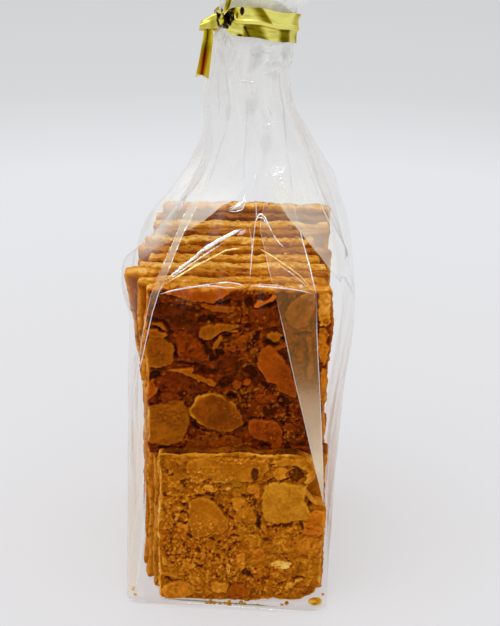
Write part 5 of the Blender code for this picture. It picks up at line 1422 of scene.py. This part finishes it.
def smooth_path(points, steps, closed=False):
    """Points along a smooth curve through the given ones, with as many steps."""
    points = np.asarray(points, float)
    if closed:
        padded = np.concatenate([points[-1:], points, points[:2]])
    else:
        padded = np.concatenate([2 * points[:1] - points[1:2], points, 2 * points[-1:] - points[-2:-1]])
    spans = len(padded) - 3
    result = []
    for step in range(steps + (0 if closed else 1)):
        place = step / steps * spans
        index = min(int(place), spans - 1)
        t = place - index
        p0, p1, p2, p3 = padded[index:index + 4]
        squared = (2 * p0 - 5 * p1 + 4 * p2 - p3) * t**2
        cubed = (3 * p1 - p0 - 3 * p2 + p3) * t**3
        result.append(0.5 * (2 * p1 + (p2 - p0) * t + squared + cubed))
    return np.array(result)


# Colours of the foil's painted reflections, from light to dark.
FOIL_SHADES = [
    (0.0, (0.98, 0.93, 0.26)), (0.25, (0.66, 0.56, 0.08)), (0.55, (0.22, 0.17, 0.003)),
    (0.85, (0.05, 0.025, 0.002)), (1.0, (0.02, 0.006, 0.001)),
]
COPPER = (0.56, 0.22, 0.03, 1.0)


def foil_material():
    """Polished gold foil, brushed by its rollers. How dark its painted reflections are, and what is copper,
    is in the mesh.
    """
    material, finish = material_named("gold_foil")
    dark, copper, _ = finish.looks().parts()
    place = finish.place()
    stretched = finish.node("Mapping", None, {"Vector": place, "Scale": (120.0, 120.0, 1500.0)})
    brushed = finish.node("TexNoise", None, {"Vector": stretched, "Scale": 1.0, "Detail": 2.0})
    dull = finish.node("TexNoise", None, {"Vector": place, "Scale": 420.0, "Detail": 2.0})
    shade = (dark * (0.8 + 0.4 * brushed) + 0.1 * dull).clamped()
    gold = finish.node("ValToRGB", {"stops": FOIL_SHADES}, {0: shade})
    colour = copper.clamped().between(gold, COPPER)
    bump = finish.node("Bump", None, {"Strength": 0.12, "Distance": 0.0002, "Height": brushed})
    surface = finish.node("BsdfPrincipled", None, {
        "Base Color": colour, "Metallic": 1.0, "Roughness": 0.1 + 0.12 * brushed, "Normal": bump,
    })
    finish.node("OutputMaterial", None, {"Surface": surface})
    return material


def tube_faces(rows, around):
    """The faces of a tube made of rings of points, closed at both ends."""
    sides = bands([around * k for k in range(rows)], around)
    return [*sides, range(around), range(rows * around - 1, (rows - 1) * around - 1, -1)]


def ribbon_shell(centres, sides, outs, profile, closed=False):
    """A thin shell of foil: at each place along a path, a profile of offsets along its side and its out."""
    across = unit(np.gradient(profile, axis=1))
    normal = np.stack([-across[..., 1], across[..., 0]], axis=-1) * FOIL / 2.0
    outline = np.concatenate([profile + normal, (profile - normal)[:, ::-1]], axis=1)
    points = centres[:, None] + outline[..., :1] * sides[:, None] + outline[..., 1:] * outs[:, None]
    rows, around = points.shape[:2]
    if closed:
        faces = bands([around * k for k in range(rows)] + [0], around)
    else:
        faces = tube_faces(rows, around)
    return points.reshape(-1, 3), faces


def band_rise(x, y):
    """How much higher the front of the loop bows than its slope."""
    return 0.7 * bell(x - 3.4, 4.2) * ramp(-y, 0.0, 2.0)


def foil_loop():
    """The band round the neck, with the wire in its middle standing out."""
    plan = smooth_path(LOOP_PLAN, 260, closed=True)
    x, y = plan.T
    heights = TIE_HEIGHT - (x - NECK_X) * math.tan(BAND_SLOPE) + 0.25 + band_rise(x, y)
    # Behind both ends it hangs lower.
    heights = heights - 0.3 * np.clip(y + 1.0, 0.0, 6.0) * ramp(x, 8.0, 13.0)
    heights = heights - 2.9 * ramp(-x, 5.0, 8.0) * ramp(y, -3.5, 0.0)
    centres = np.column_stack([plan, heights])
    ahead = np.roll(centres, -1, axis=0) - np.roll(centres, 1, axis=0)
    up = np.broadcast_to([math.sin(BAND_SLOPE), 0.0, math.cos(BAND_SLOPE)], centres.shape)
    outs = unit(np.cross(ahead, up))
    half = TIE_BAND / 2.0 + 0.25
    outer = np.linspace(1.2, half, 9)
    across = np.concatenate([-outer[::-1], np.linspace(-0.95, 0.95, 15), outer])
    wire = 0.42 * ramp(-np.abs(across), -0.85, -0.35) - 0.12 * ramp(-np.abs(across), -0.3, -0.05)
    flare = 0.3 * ramp(np.abs(across), 2.4, half)
    run = np.arange(len(centres))[:, None] * 0.22
    dents = cloud(run + 0 * across, across + 0 * run, 0.0, 5.5, 5) * 0.42
    dents = dents + (0.5 - np.abs(cloud(run * 0.8 + across * 0.5, across * 0.5, 3.0, 3.2, 6))) * 0.28
    lift = (wire + flare)[None, :] + dents * ramp(np.abs(across), 0.7, 1.8)
    profile = np.stack([np.broadcast_to(across, lift.shape), lift], axis=-1)
    # Behind the knot it is pinched to half its width.
    pinch = bell(x + 7.5, 2.6) * ramp(-y, -7.0, 0.0)
    profile[..., 0] *= (1.0 - 0.5 * pinch)[:, None]
    points, faces = ribbon_shell(centres, up, outs, profile, closed=True)
    points[:, 0] -= 0.4 * ramp(points[:, 0], 10.0, 15.0)
    return points, faces


def foil_twist():
    """The knot: both ends of the ribbon twisted together."""
    start, end = np.array([-4.2, -5.6, 181.6]), np.array([-8.9, -7.0, 179.4])
    steps, count, turns = 46, 40, 1.6
    axis = unit(end - start)
    side = unit(np.cross(axis, [0.0, 0.0, 1.0]))
    up = np.cross(side, axis)
    rows = []
    around = np.linspace(0.0, 2.0 * math.pi, count, endpoint=False)
    for step in range(steps + 1):
        share = step / steps
        turn = 2.0 * math.pi * turns * share
        swell = 1.0 - 0.2 * ramp(share, 0.8, 1.0) - 0.25 * ramp(0.3 - share, 0.0, 0.3)
        radius = swell * (2.1 + 0.7 * np.cos(2.0 * around) + 0.12 * np.cos(7.0 * around + 9.0 * share))
        cos, sin = np.cos(around + turn), np.sin(around + turn)
        ring = np.outer(radius * cos, side) + np.outer(radius * sin, up)
        rows.append(start + (end - start) * share + ring)
    return np.concatenate(rows), tube_faces(len(rows), count)


def foil_roll():
    """The rolled start of the hanging end: a short flat tube that lies across."""
    steps, count = 20, 36
    middles = [(-8.6, -6.8, 179.5), (-10.4, -7.1, 179.1), (-12.2, -7.3, 178.7), (-13.6, -7.3, 178.4)]
    path = smooth_path(middles, steps)
    around = np.linspace(0.0, 2.0 * math.pi, count, endpoint=False)
    rows = []
    for step, centre in enumerate(path):
        share = step / steps
        tall = 2.3 - 0.6 * share - 0.5 * share**4 + 0.08 * math.sin(9.0 * share)
        deep = 1.2 + 0.3 * share
        wave = 1.0 + 0.09 * np.cos(3.0 * around + 4.0 * share) + 0.05 * np.cos(7.0 * around)
        rows.append(centre + np.stack([
            0.25 * np.sin(around) * share, deep * wave * np.cos(around), tall * wave * np.sin(around),
        ], axis=1))
    # Its open end is turned in.
    for inset in (0.8, 0.4):
        inner = path[-1] + (rows[steps] - path[-1]) * inset
        rows.append(inner + (0.5 * (1.0 - inset) + 0.4, 0.0, 0.0))
    return np.concatenate(rows), tube_faces(len(rows), count)


def foil_end(path, opening, widths, depths, seed):
    """An end of the ribbon, folded lengthwise into a V that opens towards the given direction."""
    steps = 60
    centres = smooth_path(path, steps)
    run = unit(np.gradient(centres, axis=0))
    outs = unit(np.asarray(opening) - run * (run @ np.asarray(opening))[:, None])
    sides = np.cross(run, outs)
    share = np.linspace(0.0, 1.0, steps + 1)[:, None]
    place = np.linspace(-1.0, 1.0, 23)[None, :]
    width = np.interp(share, np.linspace(0, 1, len(widths)), widths)
    depth = np.interp(share, np.linspace(0, 1, len(depths)), depths)
    crush = cloud(share * 17.0, place * 2.5, 0.0, 3.0, seed) * 0.28
    ridge = 0.2 * bell(place, 0.12)
    profile = np.stack([width * place, depth * np.abs(place) + crush * np.abs(place) - ridge], axis=-1)
    return ribbon_shell(centres, sides, outs, profile)


def foil_looks(kind, points):
    """How dark and how coppery each point is: painted reflections, in bands as folded foil mirrors things."""
    x, y, z = points.T
    broad = cloud(x, y, 0.4 * z, 5.2, 71) + 0.4 * cloud(x, y, 0.5 * z, 2.0, 72)
    # Painted reflections: broad dark bands where the foil would mirror darker things.
    dark, copper = 0.15 + 0.4 * ramp(broad, 0.1, 0.8), 0.0 * x
    if kind == "loop":
        up = z - TIE_HEIGHT + (x - NECK_X) * math.tan(BAND_SLOPE)
        lines = cloud(0.16 * x, 0.16 * y, up, 0.62, 73)
        up = up - band_rise(x, y)
        before = ramp(-y, 0.0, 2.0)
        # Above the wire a painted soft shadow with a sharp slanting edge; below, painted dark, golden and
        # dark again.
        above, below = ramp(up, 0.5, 1.0), ramp(-up, 0.3, 0.8)
        slant = 5.2 + 0.75 * (3.8 - up)
        dark = 0.02 + 0.1 * ramp(broad, 0.2, 0.9)
        dark = dark + 0.5 * before * above * ramp(x - slant, -5.0, -1.8) * ramp(slant - x, 0.0, 0.5)
        dark = dark + 0.48 * before * below * (1.0 - ramp(x + 0.5 * up, 2.4, 4.8)) * ramp(x, -1.6, -0.6)
        dark = dark + 0.48 * before * below * ramp(x, 8.6, 10.2) * (1.0 - ramp(x, 11.8, 12.8))
        dark = dark + 0.3 * before * bell(up + 0.6 + 0.02 * x, 0.15) * ramp(x, 3.0, 6.0)
        dark = dark + 0.12 * ramp(lines, 0.1, 0.5) * (below + 0.3 * above)
        dark = dark + 0.35 * (1.0 - before) * ramp(broad, -0.2, 0.6)
        # The folds next to the knot get a painted dark reflection of the wire.
        spot = np.hypot((x + 1.6) / 0.7, (up - 3.4) / 1.4)
        dark = np.where(y < -2.0, dark * ramp(spot, 1.0, 1.6) + 1.1 * (1.0 - ramp(spot, 0.8, 1.0)), dark)
        crease = x + 1.0 + 0.5 * (up + 0.9)
        dark = dark + 0.8 * before * bell(crease, 0.16) * ramp(-up, 0.7, 1.2)
        dark = dark + 0.7 * before * bell(x + 3.0, 0.2) * ramp(up, 0.8, 1.4) * ramp(-up, -3.2, -2.6)
        dark = dark + 0.9 * before * bell(x + 2.2, 0.8) * ramp(-up, 3.2, 3.6)
    elif kind == "twist":
        # A painted reflection: nearly black round a golden spot, with a few painted sparks in it.
        spot = np.hypot((x + 7.4) / 0.8, (z - 180.0) / 1.3)
        dark = 1.0 - (1.0 - ramp(spot, 0.7, 1.0)) * ramp(-y, 7.4, 8.0)
        dark = dark - 0.75 * ramp(cloud(x, y, z, 0.7, 74), 0.45, 0.6) - 0.9 * ramp(x, -4.6, -4.0)
    elif kind == "high":
        dark = 0.1 + 0.4 * ramp(broad, 0.0, 0.8)
    elif kind == "low":
        aside = x + 11.4 + 0.14 * (176.0 - z)
        inside = ramp(aside, -0.8, -0.2) * (1.0 - ramp(aside, 0.4, 1.1)) * ramp(y, -8.4, -7.2)
        copper = 0.9 * inside * ramp(-z, -174.0, -168.0)
        copper = copper + 0.3 * ramp(aside, 0.4, 1.1) * ramp(-z, -174.0, -166.0)
        dark = 0.04 + 0.15 * ramp(broad, 0.2, 0.8) + 0.2 * inside * (1.0 - ramp(-z, -172.0, -167.0))
    return np.stack([dark, copper, 0.0 * x], axis=1)


def build_tie():
    low = [(-11.6, -6.2, 178.6), (-11.4, -6.4, 175.8), (-12.1, -6.2, 170.5), (-13.2, -5.8, 163.4)]
    high = [
        (-7.7, -8.6, 180.9), (-6.7, -8.0, 182.3), (-5.7, -6.9, 183.7), (-4.7, -6.4, 187.4),
        (-3.0, -6.6, 191.8), (-1.2, -7.2, 197.0),
    ]
    low_widths, low_depths = (1.1, 1.5, 1.9), (1.2, 2.0, 2.6)
    high_widths, high_depths = (0.3, 0.5, 0.8, 0.9, 1.4, 1.9), (0.2, 0.3, 0.5, 0.8, 1.6, 2.4)
    parts = {
        "loop": foil_loop(),
        "twist": foil_twist(),
        "roll": foil_roll(),
        "low": foil_end(low, (0.1, -1.0, 0.0), low_widths, low_depths, 8),
        "high": foil_end(high, (-0.5, -1.0, 0.2), high_widths, high_depths, 9),
    }
    dressed = [(points, faces, foil_looks(kind, points)) for kind, (points, faces) in parts.items()]
    tie = mesh_piece("foil_tie", foil_material(), *joined(dressed))
    tie.data.set_sharp_from_angle(angle=math.radians(48.0))
    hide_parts("twist_tie")
    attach(tie, "root")


build_tie()


# ------------------------------------------------------------
# The floor: a wide sheet of pale paper that lies flat under the pack. Its glow is painted light for the room
# that lights it from all sides, and it is painted lightest round the pack, as a pool of light, and darker
# outwards. One broad soft lamp hangs over it to the left, and the camera looks down at it.

FLOOR_REACH = 3000.0
FLOOR_DROP = 0.05  # under the pack
FLOOR_SHARE, FLOOR_GLOW = 0.38, 1.56
# The paper's colour on a screen, from under the pack outwards, with a painted pool of light round the pack.
FLOOR_SHADES = [
    (0.0, 227, 226, 228), (0.1, 230, 231, 234), (0.125, 230, 231, 234), (0.17, 215, 216, 218),
    (0.26, 210, 211, 213), (1.0, 202, 203, 206),
]


def stage_floor():
    material, finish = material_named("paper_floor")
    distance = finish.node("VectorMath", {"operation": "LENGTH"}, {0: finish.place()}, out=1)
    colour = finish.node("ValToRGB", {"stops": lit(FLOOR_SHADES)}, {0: distance * (1.0 / (FLOOR_REACH * MM))})
    dimmed = colour.scaled(FLOOR_SHARE)
    surface = finish.node("BsdfPrincipled", None, {
        "Base Color": dimmed, "Roughness": 0.9, "Specular IOR Level": 0.1,
        "Emission Color": dimmed, "Emission Strength": FLOOR_GLOW,
    })
    finish.node("OutputMaterial", None, {"Surface": surface})
    turn = np.linspace(0.0, 2.0 * math.pi, 96, endpoint=False)
    ring = np.column_stack([np.cos(turn) * FLOOR_REACH, np.sin(turn) * FLOOR_REACH, 0.0 * turn - FLOOR_DROP])
    floor = mesh_piece("floor", material, ring, [range(len(ring))])


stage_floor()

# The room: brighter overhead than at the sides.
ROOM_SHADES = [(0.0, (0.80,) * 3), (0.15, (0.80,) * 3), (0.6, (0.92,) * 3), (1.0, (1.1,) * 3)]
world = bpy.data.worlds.new("studio")
bpy.context.scene.world = world
world.use_nodes = True
sky = Finish(world.node_tree)
rise = sky.node("TexCoord").parts("SeparateXYZ")[2]
glow = sky.node("ValToRGB", {"stops": ROOM_SHADES}, {0: rise})
background = sky.node("Background", None, {"Color": glow, "Strength": 0.95})
sky.node("OutputWorld", None, {"Surface": background})

lamp = bpy.data.lights.new("overhead", "AREA")
lamp.shape = "RECTANGLE"
lamp.size, lamp.size_y = 0.8, 0.6
lamp.energy = 3.4
lamp_object = bpy.data.objects.new("overhead", lamp)
lamp_object.location = (-0.35, -0.25, 1.25)
lamp_object.rotation_euler = (math.radians(12.0), math.radians(-16.0), 0.0)
bpy.context.scene.collection.objects.link(lamp_object)

# The camera's place, and the directions of its right, its top and its back.
CAMERA_PLACE = (-4.34, -469.34, 302.75)
CAMERA_AXES = ((0.99988, -0.0072, 0.01367), (-0.00937, 0.42147, 0.90679), (-0.0123, -0.9068, 0.4214))
lens = bpy.data.cameras.new("camera")
lens.sensor_width = 36.0
lens.lens = 94.9
camera = bpy.data.objects.new("camera", lens)
bpy.context.scene.collection.objects.link(camera)
turn = mathutils.Matrix(CAMERA_AXES).transposed()
camera.matrix_world = mathutils.Matrix.Translation([value * MM for value in CAMERA_PLACE]) @ turn.to_4x4()
bpy.context.scene.camera = camera
bpy.context.scene.view_settings.view_transform = "Standard"
bpy.context.scene.cycles.transparent_max_bounces = 32
